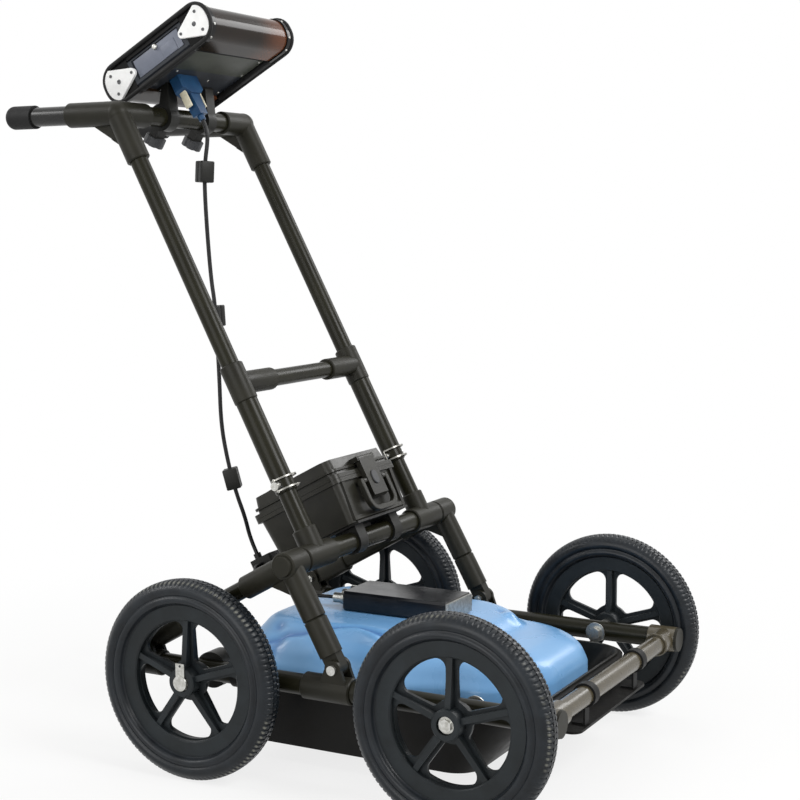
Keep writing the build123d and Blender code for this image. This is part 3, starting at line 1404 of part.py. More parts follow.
with BuildPart() as display_bumpers:
    for end in (-1, 1):
        extrude(bumper_section(display_side, end, 0), amount=housing_half_width, both=True)
        for side in sides:
            bumper_end = display_side.offset(-side * housing_half_width)
            extrude(bumper_section(bumper_end, end, collar_proud), amount=side * collar_width)
finish(display_bumpers.part, "display_bumpers")

with BuildPart() as display_corner_plates:
    for side in sides:
        plate_middle = side * (housing_half_width + seat_gap + plate_thickness / 2)
        for end in (-1, 1):
            with BuildSketch(display_side.offset(-plate_middle)) as plate:
                high, low = (end * plate_far, plate_rise), (end * plate_far, -plate_rise)
                with BuildLine():
                    Polyline(low, (end * plate_apex, 0), high)
                    ThreePointArc(high, (end * plate_bulge, 0), low)
                make_face()
                fillet(plate.vertices(), plate_corner)
            extrude(plate.sketch, amount=plate_thickness / 2, both=True)
    chamfer(display_corner_plates.faces().sort_by(Axis.Y)[0].edges(), small_edge)
finish(display_corner_plates.part, "display_corner_plates")

with BuildPart() as display_screen:
    screen_low = housing_top - screen_recess + seat_gap
    add_block(
        display_frame, (-screen_half_length, screen_half_length), (-screen_half_width, screen_half_width),
        (screen_low, screen_low + screen_thickness),
    )
finish(display_screen.part, "display_screen")

with BuildPart() as power_button:
    button_inner = -housing_half_width + button_depth - button_travel - seat_gap
    button_outer = -housing_half_width - button_proud
    button_start = display_point(button_ahead, button_inner, button_rise)
    add_bar(button_start, display_point(button_ahead, button_outer, button_rise), button_d)
    fillet(power_button.edges().filter_by(GeomType.CIRCLE).sort_by(Axis.Y)[0], bold_edge)
finish(power_button.part, "power_button")

# Mount: a plate under the housing on two clamps round the handle crossbar
ring_od = handle_tube_od + 2 * clamp_gap + 2 * clamp_wall
plate_top = -housing_bottom - seat_gap
plate_low = plate_top - mount_plate
ear_start = ring_od / 2 - clamp_wall / 2
arm_rear = -housing_half_length + clamp_wall
with BuildPart() as display_mount:
    plate_half = (clamp_spread + clamp_width) / 2
    add_block(
        display_frame, (-housing_half_length, mount_plate_front), (-plate_half, plate_half),
        (plate_low, plate_top),
    )
    for side in sides:
        y = side * clamp_spread / 2
        with BuildSketch(display_side.offset(-y)) as clamp:
            with Locations((-display_ahead, -display_rise)):
                Circle(ring_od / 2)
            with BuildLine():
                Polyline(
                    (-display_ahead - ring_od / 6, -display_rise), (arm_rear, plate_low),
                    (mount_plate_front, plate_low), (-display_ahead + ring_od / 2, -display_rise),
                    close=True,
                )
            make_face()
        extrude(clamp.sketch, amount=clamp_width / 2, both=True)
        ring_centre = Vector(corner_x, y, corner_z)
        ear = Plane(origin=ring_centre, x_dir=(0, 1, 0), z_dir=knob_way)
        with BuildSketch(ear.offset(ear_start)) as ear_shape:
            Rectangle(clamp_width, clamp_ear_width)
        extrude(ear_shape.sketch, amount=clamp_ear - ear_start)
        stud_end = ring_centre + knob_way * (clamp_ear + knob_height / 2)
        add_bar(ring_centre + knob_way * ear_start, stud_end, knob_stud_d)
    clamp_bore = handle_tube_od + 2 * clamp_gap
    bore_start = (corner_x, -clamp_spread, corner_z)
    add_bar(bore_start, (corner_x, clamp_spread, corner_z), clamp_bore, Mode.SUBTRACT)
finish(display_mount.part, "display_mount")

for side, side_name in ((-1, "right"), (1, "left")):
    knob_centre = Vector(corner_x, side * clamp_spread / 2, corner_z)
    knob_base = Plane(origin=knob_centre + knob_way * (clamp_ear + seat_gap), x_dir=(0, 1, 0), z_dir=knob_way)
    with BuildPart() as knob:
        with BuildSketch(knob_base) as lobes:
            Circle(knob_od / 2)
            with PolarLocations(knob_od / 2 + knob_scallop_d / 5, knob_scallops):
                Circle(knob_scallop_d / 2, mode=Mode.SUBTRACT)
        extrude(lobes.sketch, amount=knob_height)
        with BuildSketch(knob_base) as bore:
            Circle(knob_stud_d / 2 + run_fit)
        extrude(bore.sketch, amount=knob_height / 2 + seat_gap, mode=Mode.SUBTRACT)
    finish(knob.part, f"knob_{side_name}")

# Connector hood under the display, with two spring clips and a strain relief
hood_top = -housing_bottom - seat_gap
hood_low = hood_top - hood_length
hood_neck = hood_top - hood_head
with BuildPart() as connector_hood:
    hood_front = Plane(
        origin=display_point(hood_ahead, hood_side, 0), x_dir=(0, 1, 0), z_dir=display_fwd,
    )
    head_points = (
        (-hood_half_width, hood_top), (hood_half_width, hood_top), (hood_half_width, hood_neck),
        (hood_neck_half_width, hood_neck - hood_shoulder), (-hood_neck_half_width, hood_neck - hood_shoulder),
        (-hood_half_width, hood_neck),
    )
    add_web(hood_front, head_points, 2 * hood_half_thickness)
    chamfer(connector_hood.edges().filter_by(Axis(display_middle, display_out)), bold_edge)
    neck_points = (
        (-hood_neck_half_width, hood_neck), (hood_neck_half_width, hood_neck),
        (hood_tail_half_width, hood_low), (-hood_tail_half_width, hood_low),
    )
    add_web(hood_front, neck_points, 2 * hood_neck_half_thickness)
    for side in sides:
        inner, outer = side * clip_in, side * (clip_in + clip_thickness)
        clip_top, clip_low = hood_neck + root_overlap, hood_neck - clip_length
        clip = ((inner, clip_top), (outer, clip_top), (outer, clip_low), (inner, clip_low))
        add_web(hood_front, clip, 2 * clip_half_width)
    relief_start = display_point(hood_ahead, hood_side, hood_low + root_overlap)
    relief_end = display_point(hood_ahead, hood_side, hood_low - relief_length)
    add_bar(relief_start, relief_end, relief_od)
finish(connector_hood.part, "connector_hood")


def cord_radii(points):
    # The largest corner arcs that the neighbouring runs allow
    radii = []
    for before, corner, after in zip(points, points[1:], points[2:]):
        into, out = corner - before, after - corner
        half_turn = radians(into.get_angle(out)) / 2
        radii.append(0.45 * min(into.length, out.length) / tan(half_turn))
    return radii


def add_cord(points, diameter):
    radii = cord_radii(points)
    with BuildLine() as route:
        FilletPolyline(*points, radius=radii)
    first_way = points[1] - points[0]
    with BuildSketch(Plane(origin=points[0], z_dir=first_way)) as section:
        Circle(diameter / 2)
    sweep(section.sketch, path=route.wire())
    print("cord radii", [round(radius) for radius in radii], "length", round(route.wire().length, 1))
    return route.wire().length


# Signal cable from the hood's strain relief down to the terminal box's gland: hand-set route as
# distances behind the middle between the axles, to the left, and above the axles
cable_start = display_point(hood_ahead, hood_side, hood_low - relief_length)
cable_end = leg_point(gland_up, gland_side, gland_ahead)
cable_route = (
    (370, -39.5, 846), (374, -43, 811), (375, -45, 771), (371, -45, 690), (364.5, -45, 610),
    (358, -45, 572), (355, -45, 521), (351, -45, 442), (350, -44, 362), (339, -41, 297),
    (327, -35, 243), (316, -25, 200),
)
cable_points = [cable_start, cable_start - display_out * cable_lead_in]
for behind, across, above in cable_route:
    cable_points.append(Vector(axle_mid_x - behind, across, axle_z + above))
cable_points.append(cable_end + leg_up * 2 * cable_lead_in)
cable_points.append(cable_end)
with BuildPart() as signal_cable:
    cable_length = add_cord(cable_points, cable_d)
cable_section = pi * cable_d ** 2 / 4
print("cable volume over section times length", signal_cable.part.volume / (cable_section * cable_length))
finish(signal_cable.part, "signal_cable")

# Ferrite blocks clipped round the cable
ferrite_runs = ((3, 4), (7, 8), (11, 12))
with BuildPart() as ferrite_blocks:
    for first, last in ferrite_runs:
        middle = (cable_points[first] + cable_points[last]) / 2
        way = (cable_points[last] - cable_points[first]).normalized()
        block = Plane(origin=middle - way * ferrite_length / 2, x_dir=(0, 1, 0), z_dir=way)
        with BuildSketch(block) as section:
            RectangleRounded(2 * ferrite_half, 2 * ferrite_half, bold_edge)
            Circle(cable_d / 2 + flex_gap, mode=Mode.SUBTRACT)
        extrude(section.sketch, amount=ferrite_length)
finish(ferrite_blocks.part, "ferrite_blocks")

# Lead from the electronics box to the terminal box
lead_start = Vector(box_back_x - seat_gap - plug_length, lead_side, plug_z)
lead_end = leg_point(lead_up, -terminal_half, terminal_rear + terminal_length / 2)
lead_route = (
    (197, -42, 79), (231.6, -61.5, 92.3), (257.1, -68.7, 106.1), (273.8, -61.4, 115.2),
)
lead_points = [lead_start, lead_start - Vector(lead_lead_in, 0, 0)]
for behind, across, above in lead_route:
    lead_points.append(Vector(axle_mid_x - behind, across, axle_z + above))
lead_points.append(lead_end - Vector(0, lead_lead_in, 0))
lead_points.append(lead_end)
with BuildPart() as power_lead:
    lead_length = add_cord(lead_points, lead_d)
finish(power_lead.part, "power_lead")
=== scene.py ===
import bmesh
import bpy
import json
import math
from mathutils import Matrix, Vector
from mathutils.bvhtree import BVHTree


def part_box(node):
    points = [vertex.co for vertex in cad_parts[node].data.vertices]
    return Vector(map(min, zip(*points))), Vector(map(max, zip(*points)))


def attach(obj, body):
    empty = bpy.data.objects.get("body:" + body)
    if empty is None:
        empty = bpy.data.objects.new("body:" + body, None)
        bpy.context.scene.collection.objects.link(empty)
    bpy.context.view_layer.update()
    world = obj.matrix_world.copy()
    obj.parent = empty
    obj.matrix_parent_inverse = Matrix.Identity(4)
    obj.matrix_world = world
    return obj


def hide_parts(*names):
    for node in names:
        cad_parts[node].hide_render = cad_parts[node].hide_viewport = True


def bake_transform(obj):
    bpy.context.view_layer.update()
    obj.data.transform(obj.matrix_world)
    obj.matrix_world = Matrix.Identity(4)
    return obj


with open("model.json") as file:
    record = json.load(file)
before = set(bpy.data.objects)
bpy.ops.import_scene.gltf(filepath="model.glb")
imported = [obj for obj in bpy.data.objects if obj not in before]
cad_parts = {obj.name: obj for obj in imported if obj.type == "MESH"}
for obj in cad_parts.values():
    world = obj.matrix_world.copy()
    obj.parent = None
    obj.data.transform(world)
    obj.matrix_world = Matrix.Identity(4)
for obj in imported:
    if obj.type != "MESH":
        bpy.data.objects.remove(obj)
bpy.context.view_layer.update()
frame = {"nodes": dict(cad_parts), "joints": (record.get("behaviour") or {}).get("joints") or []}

nodes = frame["nodes"]
scene = bpy.context.scene
print("frame loaded:", len(nodes), "nodes")


# colours, nodes and materials
def linear(hexColour):
    parts = [int(hexColour[i:i + 2], 16) / 255 for i in (1, 3, 5)]  # sRGB hex to linear
    return [c / 12.92 if c <= 0.04045 else ((c + 0.055) / 1.055) ** 2.4 for c in parts] + [1.0]


def addNode(tree, kind, settings=None, sockets=None, links=None):
    node = tree.nodes.new("ShaderNode" + kind)
    for name, value in (settings or {}).items():
        setattr(node, name, value)
    for key, value in (sockets or {}).items():
        node.inputs[key].default_value = value
    for key, (source, output) in (links or {}).items():
        tree.links.new(source.outputs[output], node.inputs[key])
    return node


def newMaterial(name):
    material = bpy.data.materials.new(name)
    material.use_nodes = True
    tree = material.node_tree
    tree.nodes.clear()
    shader = addNode(tree, "BsdfPrincipled")
    addNode(tree, "OutputMaterial", links={"Surface": (shader, "BSDF")})
    return material, tree, shader


# what all finishes share: softness of the patches, spread of the pale marks, height of the grain as a share of
# its size
finishBase = {"patchDetail": 4.0, "patchBreak": 0.6, "patchFrom": 0.35, "patchTo": 0.65,
              "paleMarksDetail": 3.0, "paleMarksFrom": 0.5, "paleMarksTo": 0.62,
              "grainDetail": 2.0, "grainTall": 1 / 3, "specular": 0.5}


def mouldedFinish(name, look):
    # two tones in soft patches, a moulded grain as bump, and a gloss that drifts with the patches
    base = finishBase
    material, tree, shader = newMaterial(name)
    place = addNode(tree, "TexCoord")
    stretch = addNode(tree, "Mapping", {}, {"Scale": look.get("stretch", (1, 1, 1))},
                      {"Vector": (place, "Object")})
    patches = addNode(tree, "TexNoise", {},
                      {"Scale": 1000 / look["patchMm"], "Detail": base["patchDetail"],
                       "Roughness": base["patchBreak"]},
                      {"Vector": (stretch, 0)})
    grain = addNode(tree, "TexNoise", {}, {"Scale": 1000 / look["grainMm"], "Detail": base["grainDetail"]},
                    {"Vector": (stretch, 0)})
    spread = addNode(tree, "MapRange", {}, {"From Min": base["patchFrom"], "From Max": base["patchTo"]},
                     {"Value": (patches, 0)})
    # a Mix of colours takes them at 6 and 7 and gives the result at 2
    tint = addNode(tree, "Mix", {"data_type": "RGBA"}, {6: linear(look["colour"]), 7: linear(look["second"])},
                   {0: (spread, 0)})
    laidOver = []  # colours over the patches, each with the output that says how much
    if "paleMarks" in look:
        # the mesh marks pale dashes near the tread's shoulders, and they are laid on in patches
        marked = addNode(tree, "Attribute", {"attribute_name": "paleMarks"})
        clouds = addNode(tree, "TexNoise", {}, {"Scale": 1000 / look["paleMarksMm"], "Detail": base["paleMarksDetail"]},
                         {"Vector": (stretch, 0)})
        heavy = addNode(tree, "MapRange", {},
                        {"From Min": base["paleMarksFrom"], "From Max": base["paleMarksTo"], "To Max": look["paleMarksMost"]},
                        {"Value": (clouds, 0)})
        paleShare = addNode(tree, "Math", {"operation": "MULTIPLY"}, {}, {0: (marked, "Fac"), 1: (heavy, 0)})
        laidOver.append((look["paleMarks"], (paleShare, 0)))
    if "paintedCreaseShade" in look:
        # painted shade: the folds and sunk presses that the mesh marks are darkened towards a deep blue, standing
        # in for the shade in them
        foldShadeAmount = addNode(tree, "Attribute", {"attribute_name": "paintedFoldShade"})
        laidOver.append((look["paintedCreaseShade"], (foldShadeAmount, "Fac")))
    if "collar" in look:
        # light shows through the bumper's left end, and both ends are rubber collars, out to the sides
        split = addNode(tree, "SeparateXYZ", {}, {}, {0: (place, "Object")})
        warm = addNode(tree, "MapRange", {"interpolation_type": "SMOOTHSTEP"},
                       {"From Min": look["amberFrom"], "From Max": look["amberTo"], "To Max": look["amberMost"]},
                       {"Value": (split, "Y")})
        aside = addNode(tree, "Math", {"operation": "ABSOLUTE"}, {}, {0: (split, "Y")})
        atEnd = addNode(tree, "Math", {"operation": "GREATER_THAN"}, {1: look["collarFrom"]}, {0: (aside, 0)})
        laidOver += [(look["amber"], (warm, 0)), (look["collar"], (atEnd, 0))]
    for colour, amount in laidOver:
        tint = addNode(tree, "Mix", {"data_type": "RGBA"}, {7: linear(colour)}, {0: amount, 6: (tint, 2)})
    gloss = addNode(tree, "MapRange", {},
                    {"To Min": look["rough"] - look["drift"], "To Max": look["rough"] + look["drift"]},
                    {"Value": (spread, 0)})
    relief = addNode(tree, "Bump", {},
                     {"Strength": look["grain"], "Distance": look["grainMm"] / 1000 * base["grainTall"]},
                     {"Height": (grain, 0)})
    tree.links.new(tint.outputs[2], shader.inputs["Base Color"])
    tree.links.new(gloss.outputs[0], shader.inputs["Roughness"])
    tree.links.new(relief.outputs[0], shader.inputs["Normal"])
    shader.inputs["Metallic"].default_value = look.get("metal", 0.0)
    if "ior" in look:
        shader.inputs["IOR"].default_value = look["ior"]
    shader.inputs["Specular IOR Level"].default_value = look.get("specular", base["specular"])
    return material


# grain is drawn a few times coarser than the real one, so that it shows at this distance
finishes = {
    # glass filled nylon, moulded: near black with a fine even grain and a soft sheen
    "mouldedNylon": {"colour": "#1a1e20", "second": "#212629", "patchMm": 45, "grainMm": 0.9, "grain": 0.25,
                     "rough": 0.44, "drift": 0.06, "ior": 1.53, "specular": 0.2},
    # tyre rubber, moulded: blue-black with a soft shine, pale dashes on the tread blocks near the shoulders
    "tyreRubber": {"colour": "#101418", "second": "#191e23", "patchMm": 30, "grainMm": 1.4, "grain": 0.3,
                   "rough": 0.36, "drift": 0.05, "ior": 1.52, "specular": 0.26, "paleMarks": "#9d9c90", "paleMarksMm": 90,
                   "paleMarksMost": 0.55},
    # glass fibre tube, drawn: olive black with a satin gloss
    "drawnTube": {"colour": "#1a1910", "second": "#212015", "patchMm": 90, "grainMm": 3.0, "grain": 0.003,
                  "rough": 0.30, "drift": 0.04, "ior": 1.5, "specular": 0.14},
    # glass fibre tube, drawn, worn smooth by hands: neutral black with a bright gloss
    "wornGrip": {"colour": "#1b1b1a", "second": "#222221", "patchMm": 60, "grainMm": 3.0, "grain": 0.003,
                 "rough": 0.24, "drift": 0.05, "ior": 1.5, "specular": 0.32},
    # glass fibre tube, drawn, at the front of the cart: painted paler and browner, standing in for the light that
    # falls on it
    "paintedLightTube": {"colour": "#453f30", "second": "#4c4535", "patchMm": 70, "grainMm": 3.0, "grain": 0.004,
                    "rough": 0.27, "drift": 0.05, "ior": 1.5, "specular": 0.5},
    # glass filled nylon fittings, moulded: the same olive black, a bit duller
    "mouldedFitting": {"colour": "#1f1e18", "second": "#27261f", "patchMm": 60, "grainMm": 1.0, "grain": 0.2,
                       "rough": 0.42, "drift": 0.06, "ior": 1.5, "specular": 0.15},
    # battery case, moulded polypropylene: olive black with a soft sheen
    "mouldedCase": {"colour": "#1b1a15", "second": "#24231c", "patchMm": 45, "grainMm": 1.0, "grain": 0.25,
                    "rough": 0.36, "drift": 0.06, "ior": 1.49, "specular": 0.3},
    # polypropylene, moulded: plain black
    "mouldedBlack": {"colour": "#131311", "second": "#1b1b18", "patchMm": 50, "grainMm": 1.0, "grain": 0.3,
                     "rough": 0.42, "drift": 0.08, "ior": 1.49, "specular": 0.24},
    # acetal knobs and button, moulded: mid grey, dull
    "mouldedGrey": {"colour": "#3a3b3d", "second": "#444547", "patchMm": 15, "grainMm": 0.8, "grain": 0.2,
                    "rough": 0.45, "drift": 0.05, "ior": 1.48, "specular": 0.3},
    # soft rubber, moulded: black, with hardly any shine
    "softRubber": {"colour": "#141414", "second": "#1c1c1c", "patchMm": 25, "grainMm": 0.8, "grain": 0.3,
                   "rough": 0.6, "drift": 0.06, "ior": 1.5, "specular": 0.2},
    # polyethylene tub, thermoformed: black, scuffed
    "formedTub": {"colour": "#0b0b0a", "second": "#161513", "patchMm": 35, "grainMm": 1.6, "grain": 0.3,
                  "rough": 0.5, "drift": 0.1, "ior": 1.5, "specular": 0.14},
    # ABS shell, vacuum formed: light blue, satin, with slow ripples left by the forming, and painted shade in its
    # folds
    "formedBlue": {"colour": "#6fa4d6", "second": "#7aacda", "patchMm": 120, "grainMm": 14, "grain": 0.02,
                   "rough": 0.28, "drift": 0.04, "ior": 1.52, "specular": 0.5, "paintedCreaseShade": "#2f5c9e"},
    # zinc plated steel, turned and rolled: pale, with cloudy patches
    "platedSteel": {"colour": "#c9c9c5", "second": "#a3a29c", "patchMm": 6, "grainMm": 0.6, "grain": 0.2,
                    "rough": 0.38, "drift": 0.08, "metal": 1.0},
    # spring steel wire, drawn: mid grey with a dull shine
    "drawnWire": {"colour": "#8f8e89", "second": "#75746f", "patchMm": 8, "grainMm": 0.6, "grain": 0.15,
                  "rough": 0.34, "drift": 0.06, "metal": 1.0},
    # enamelled sheet steel: near black with a gloss
    "enamelledBox": {"colour": "#0d0f13", "second": "#12151a", "patchMm": 40, "grainMm": 1.5, "grain": 0.05,
                     "rough": 0.2, "drift": 0.04, "ior": 1.5, "specular": 0.4},
    # smoked polycarbonate bumper, moulded: bronze black, glossy, with an amber light in its left end
    "smokedBumper": {"colour": "#17120d", "second": "#241a12", "patchMm": 90, "grainMm": 2.0, "grain": 0.03,
                     "stretch": (1, 0.25, 1), "rough": 0.15, "drift": 0.04, "ior": 1.58, "specular": 0.12,
                     "amber": "#7d4a30", "amberFrom": 0.020, "amberTo": 0.100, "amberMost": 0.45,
                     "collar": "#121212", "collarFrom": 0.1078},
    # anodised aluminium housing, extruded: blue grey black, satin
    "anodisedHousing": {"colour": "#24272c", "second": "#2b2f35", "patchMm": 60, "grainMm": 0.7, "grain": 0.15,
                        "rough": 0.38, "drift": 0.05, "ior": 1.5, "specular": 0.3},
    # painted sheet panels, pressed: blue grey, satin
    "paintedPanel": {"colour": "#6a6f7c", "second": "#727784", "patchMm": 25, "grainMm": 0.8, "grain": 0.12,
                     "rough": 0.42, "drift": 0.05, "ior": 1.5, "specular": 0.35},
    # ABS cover under the display, moulded: olive grey, dull
    "mouldedOlive": {"colour": "#353831", "second": "#3d4038", "patchMm": 30, "grainMm": 0.8, "grain": 0.2,
                     "rough": 0.45, "drift": 0.05, "ior": 1.5, "specular": 0.25},
    # steel screws, turned and blackened: dark, with a dull shine
    "blackSteel": {"colour": "#6a6b6c", "second": "#4c4d4e", "patchMm": 4, "grainMm": 0.5, "grain": 0.2,
                   "rough": 0.36, "drift": 0.06, "metal": 1.0},
    # acetal plates, moulded: clean white with a soft sheen
    "mouldedWhite": {"colour": "#f8f8f7", "second": "#f0f0ef", "patchMm": 18, "grainMm": 0.9, "grain": 0.1,
                     "rough": 0.38, "drift": 0.05, "ior": 1.48, "specular": 0.4},
    # nylon clips, moulded: cream with a soft sheen
    "mouldedCream": {"colour": "#cfc9b2", "second": "#bdb79f", "patchMm": 9, "grainMm": 0.6, "grain": 0.15,
                     "rough": 0.42, "drift": 0.05, "ior": 1.53, "specular": 0.35},
    # cover glass, polished: black and mirror smooth while the screen is off
    "coverGlass": {"colour": "#0b0c0e", "second": "#0e1013", "patchMm": 80, "grainMm": 4.0, "grain": 0.01,
                   "rough": 0.08, "drift": 0.02, "ior": 1.52},
    # polyamide hood, moulded: deep blue
    "mouldedHood": {"colour": "#12375a", "second": "#184468", "patchMm": 20, "grainMm": 0.8, "grain": 0.2,
                    "rough": 0.4, "drift": 0.05, "ior": 1.53, "specular": 0.35},
    # PVC cable jacket, extruded: black with a soft sheen
    "cableJacket": {"colour": "#0f0f10", "second": "#171718", "patchMm": 30, "grainMm": 1.0, "grain": 0.15,
                    "rough": 0.42, "drift": 0.06, "ior": 1.53, "specular": 0.25},
    # solder mask on a glass epoxy board, sprayed: deep green with a gloss
    "circuitBoard": {"colour": "#1d4a2c", "second": "#235735", "patchMm": 8, "grainMm": 1.0, "grain": 0.1,
                     "rough": 0.35, "drift": 0.05, "ior": 1.5},
}
materials = {name: mouldedFinish(name, look) for name, look in finishes.items()}

nodeFinish = {
    "mouldedNylon": ["wheel_front_right", "wheel_front_left", "wheel_rear_right", "wheel_rear_left"],
    "tyreRubber": ["tyre_front_right", "tyre_front_left", "tyre_rear_right", "tyre_rear_left"],
    # painted light: the front crossbar and its tees take the paler tube colour that stands in for the light on
    # them
    "paintedLightTube": ["front_crossbar", "corner_tees"],
    "drawnTube": ["side_tubes", "brace_tubes", "upper_cross_tube", "leg_tubes", "leg_sleeves",
                  "mid_cross_tube", "handle_crossbar"],
    "wornGrip": ["grip_tubes"],
    "mouldedFitting": ["pivot_saddles", "pivot_knuckles", "upper_tees", "mid_tees", "handle_elbows",
                       "tube_end_caps"],
    "mouldedCase": ["battery_case", "battery_lid", "battery_latch", "case_handle"],
    "mouldedBlack": ["odometer_encoder", "battery_cradle", "terminal_box", "display_mount", "ferrite_blocks",
                     "sensor_base", "battery_cells"],
    "mouldedGrey": ["knob_right", "knob_left", "latch_button"],
    "softRubber": ["grip_caps", "tub_straps"],
    "formedTub": ["skid_tub"],
    "formedBlue": ["sensor_lid"],
    "platedSteel": ["axle_bolts", "odometer_drive_plate", "pivot_bolts", "snap_pin_right", "snap_pin_left",
                    "box_connectors", "power_button"],
    "drawnWire": ["pin_bail_right", "pin_bail_left"],
    "enamelledBox": ["electronics_box"],
    "smokedBumper": ["display_bumpers"],
    "anodisedHousing": ["display_housing"],
    "mouldedWhite": ["display_corner_plates"],
    "coverGlass": ["display_screen"],
    "mouldedHood": ["connector_hood"],
    "cableJacket": ["signal_cable", "power_lead"],
    "circuitBoard": ["antenna_boards"],
}
for finish, names in nodeFinish.items():
    for name in names:
        nodes[name].data.materials.clear()
        nodes[name].data.materials.append(materials[finish])
print("materials:", len(materials))


# pieces
def placePiece(name, mesh, finish, body):
    mesh.materials.append(materials[finish])
    piece = bpy.data.objects.new(name, mesh)
    scene.collection.objects.link(piece)
    if body != "swing":  # a piece that swings is left unattached
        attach(piece, body)
    return piece


def makePiece(name, bm, finish, body, smoothAngle=35):
    mesh = bpy.data.meshes.new(name)
    bm.to_mesh(mesh)
    bm.free()
    mesh.shade_smooth()
    mesh.set_sharp_from_angle(angle=math.radians(smoothAngle))
    return placePiece(name, mesh, finish, body)


def roundEdges(bm, edges, corner, segments):
    bmesh.ops.bevel(bm, geom=edges, offset=corner, affect="EDGES", segments=segments, profile=0.5, material=-1)


def addBlock(bm, size, middle, corner, segments):
    # a box with all its edges rounded
    block = bmesh.ops.create_cube(bm, size=1.0)["verts"]
    bmesh.ops.scale(bm, vec=size, verts=block)
    bmesh.ops.translate(bm, vec=middle, verts=block)
    roundEdges(bm, list(dict.fromkeys(e for v in block for e in v.link_edges)), corner, segments)


def clamp(share):
    return min(max(share, 0.0), 1.0)


# camera at the photo's angle
cameraLook = {"place": (1.3491, -2.2796, 0.8647), "yaw": 28.31, "pitch": 6.40, "roll": -0.26,
              "focalPx": 1587.23, "imagePx": 800, "sensorMm": 36.0}


def aimCamera(look):
    yaw, pitch, roll = (math.radians(look[k]) for k in ("yaw", "pitch", "roll"))
    ahead = -Vector((math.sin(yaw) * math.cos(pitch), -math.cos(yaw) * math.cos(pitch), math.sin(pitch)))
    level = ahead.cross(Vector((0, 0, 1))).normalized()
    upright = level.cross(ahead)
    right = math.cos(roll) * level + math.sin(roll) * upright
    up = -math.sin(roll) * level + math.cos(roll) * upright
    camera = bpy.data.objects.new("camera", bpy.data.cameras.new("camera"))
    camera.data.sensor_width = look["sensorMm"]
    camera.data.lens = look["focalPx"] / look["imagePx"] * look["sensorMm"]
    camera.matrix_world = Matrix.Translation(look["place"]) @ Matrix((right, up, -ahead)).transposed().to_4x4()
    scene.collection.objects.link(camera)
    scene.camera = camera


aimCamera(cameraLook)

# cords, on the same points as their solids
cordRoutes = {
    "signalCable": {
        "replaces": "signal_cable", "diameter": 0.007, "length": 0.7555, "finish": "cableJacket",
        "stiffness": "medium", "lay": "hanging", "body": "swing",
        "points": [
            (-0.2360, -0.0370, 1.0375), (-0.2292, -0.0370, 1.0252), (-0.2246, -0.0395, 1.0045),
            (-0.2286, -0.0430, 0.9695), (-0.2296, -0.0450, 0.9295), (-0.2256, -0.0450, 0.8485),
            (-0.2191, -0.0450, 0.7685), (-0.2126, -0.0450, 0.7305), (-0.2096, -0.0450, 0.6795),
            (-0.2056, -0.0450, 0.6005), (-0.2046, -0.0440, 0.5205), (-0.1936, -0.0410, 0.4555),
            (-0.1816, -0.0350, 0.4015), (-0.1706, -0.0250, 0.3585), (-0.1673, -0.0150, 0.3193),
            (-0.1542, -0.0150, 0.2946),
        ],
    },
    "powerLead": {
        "replaces": "power_lead", "diameter": 0.006, "length": 0.1952, "finish": "cableJacket",
        "stiffness": "medium", "lay": "hanging", "body": "frame",
        "points": [
            (0.0111, -0.0290, 0.2384), (-0.0094, -0.0290, 0.2384), (-0.0516, -0.0420, 0.2375),
            (-0.0862, -0.0615, 0.2508), (-0.1117, -0.0687, 0.2646), (-0.1284, -0.0614, 0.2737),
            (-0.1383, -0.0445, 0.2792), (-0.1383, -0.0240, 0.2792),
        ],
    },
}
cordSteps = {"round": 5, "along": 12}


def cordMesh(name, route, thick):
    curve = bpy.data.curves.new(name, "CURVE")
    curve.dimensions = "3D"
    curve.bevel_depth = thick / 2
    curve.bevel_resolution = cordSteps["round"]
    curve.use_fill_caps = thick > 0
    spline = curve.splines.new("NURBS")
    spline.points.add(len(route["points"]) - 1)
    for point, place in zip(spline.points, route["points"]):
        point.co = (*place, 1.0)
    spline.order_u = 3  # set after the points, or it stays at 2
    spline.use_endpoint_u = True
    spline.resolution_u = cordSteps["along"]
    carrier = bpy.data.objects.new(name, curve)
    mesh = bpy.data.meshes.new_from_object(carrier)
    bpy.data.objects.remove(carrier)
    bpy.data.curves.remove(curve)
    return mesh


def makeCord(name, route):
    mesh = cordMesh(name, route, route["diameter"])
    mesh.shade_smooth()
    cord = placePiece(name, mesh, route["finish"], route["body"])
    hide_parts(route["replaces"])
    return cord


for name, route in cordRoutes.items():
    route["line"] = [vert.co.copy() for vert in cordMesh(name + "Line", route, 0.0).vertices]

# ferrite blocks: two moulded halves closed round the cable by two latches
ferriteLook = {
    "blocks": [("ferriteUpper", 0.9495, "swing"), ("ferriteMiddle", 0.7050, "frame"),
               ("ferriteLower", 0.4285, "frame")],
    "across": 0.025, "long": 0.036, "split": 0.0005, "corner": 0.0022, "cornerSteps": 3,
    "latch": (0.009, 0.0022, 0.007), "latchCorner": 0.0007, "latchSteps": 2,
}


def buildFerrite(name, height, body):
    look = ferriteLook
    across, long = look["across"], look["long"]
    line = cordRoutes["signalCable"]["line"]
    at = min(range(1, len(line) - 1), key=lambda i: abs(line[i].z - height))
    turn = (line[at + 1] - line[at - 1]).to_track_quat("Z", "Y").to_matrix().to_4x4()
    bm = bmesh.new()
    for side in (-1, 1):
        addBlock(bm, (across / 2 - look["split"], across, long), (side * across / 4, 0, 0),
                 look["corner"], look["cornerSteps"])
    for along in (-1, 1):
        addBlock(bm, look["latch"], (0, -across / 2, along * long / 4), look["latchCorner"], look["latchSteps"])
    bmesh.ops.transform(bm, matrix=Matrix.Translation(line[at]) @ turn, verts=bm.verts[:])
    block = makePiece(name, bm, "mouldedBlack", body)
    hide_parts("ferrite_blocks")
    return block


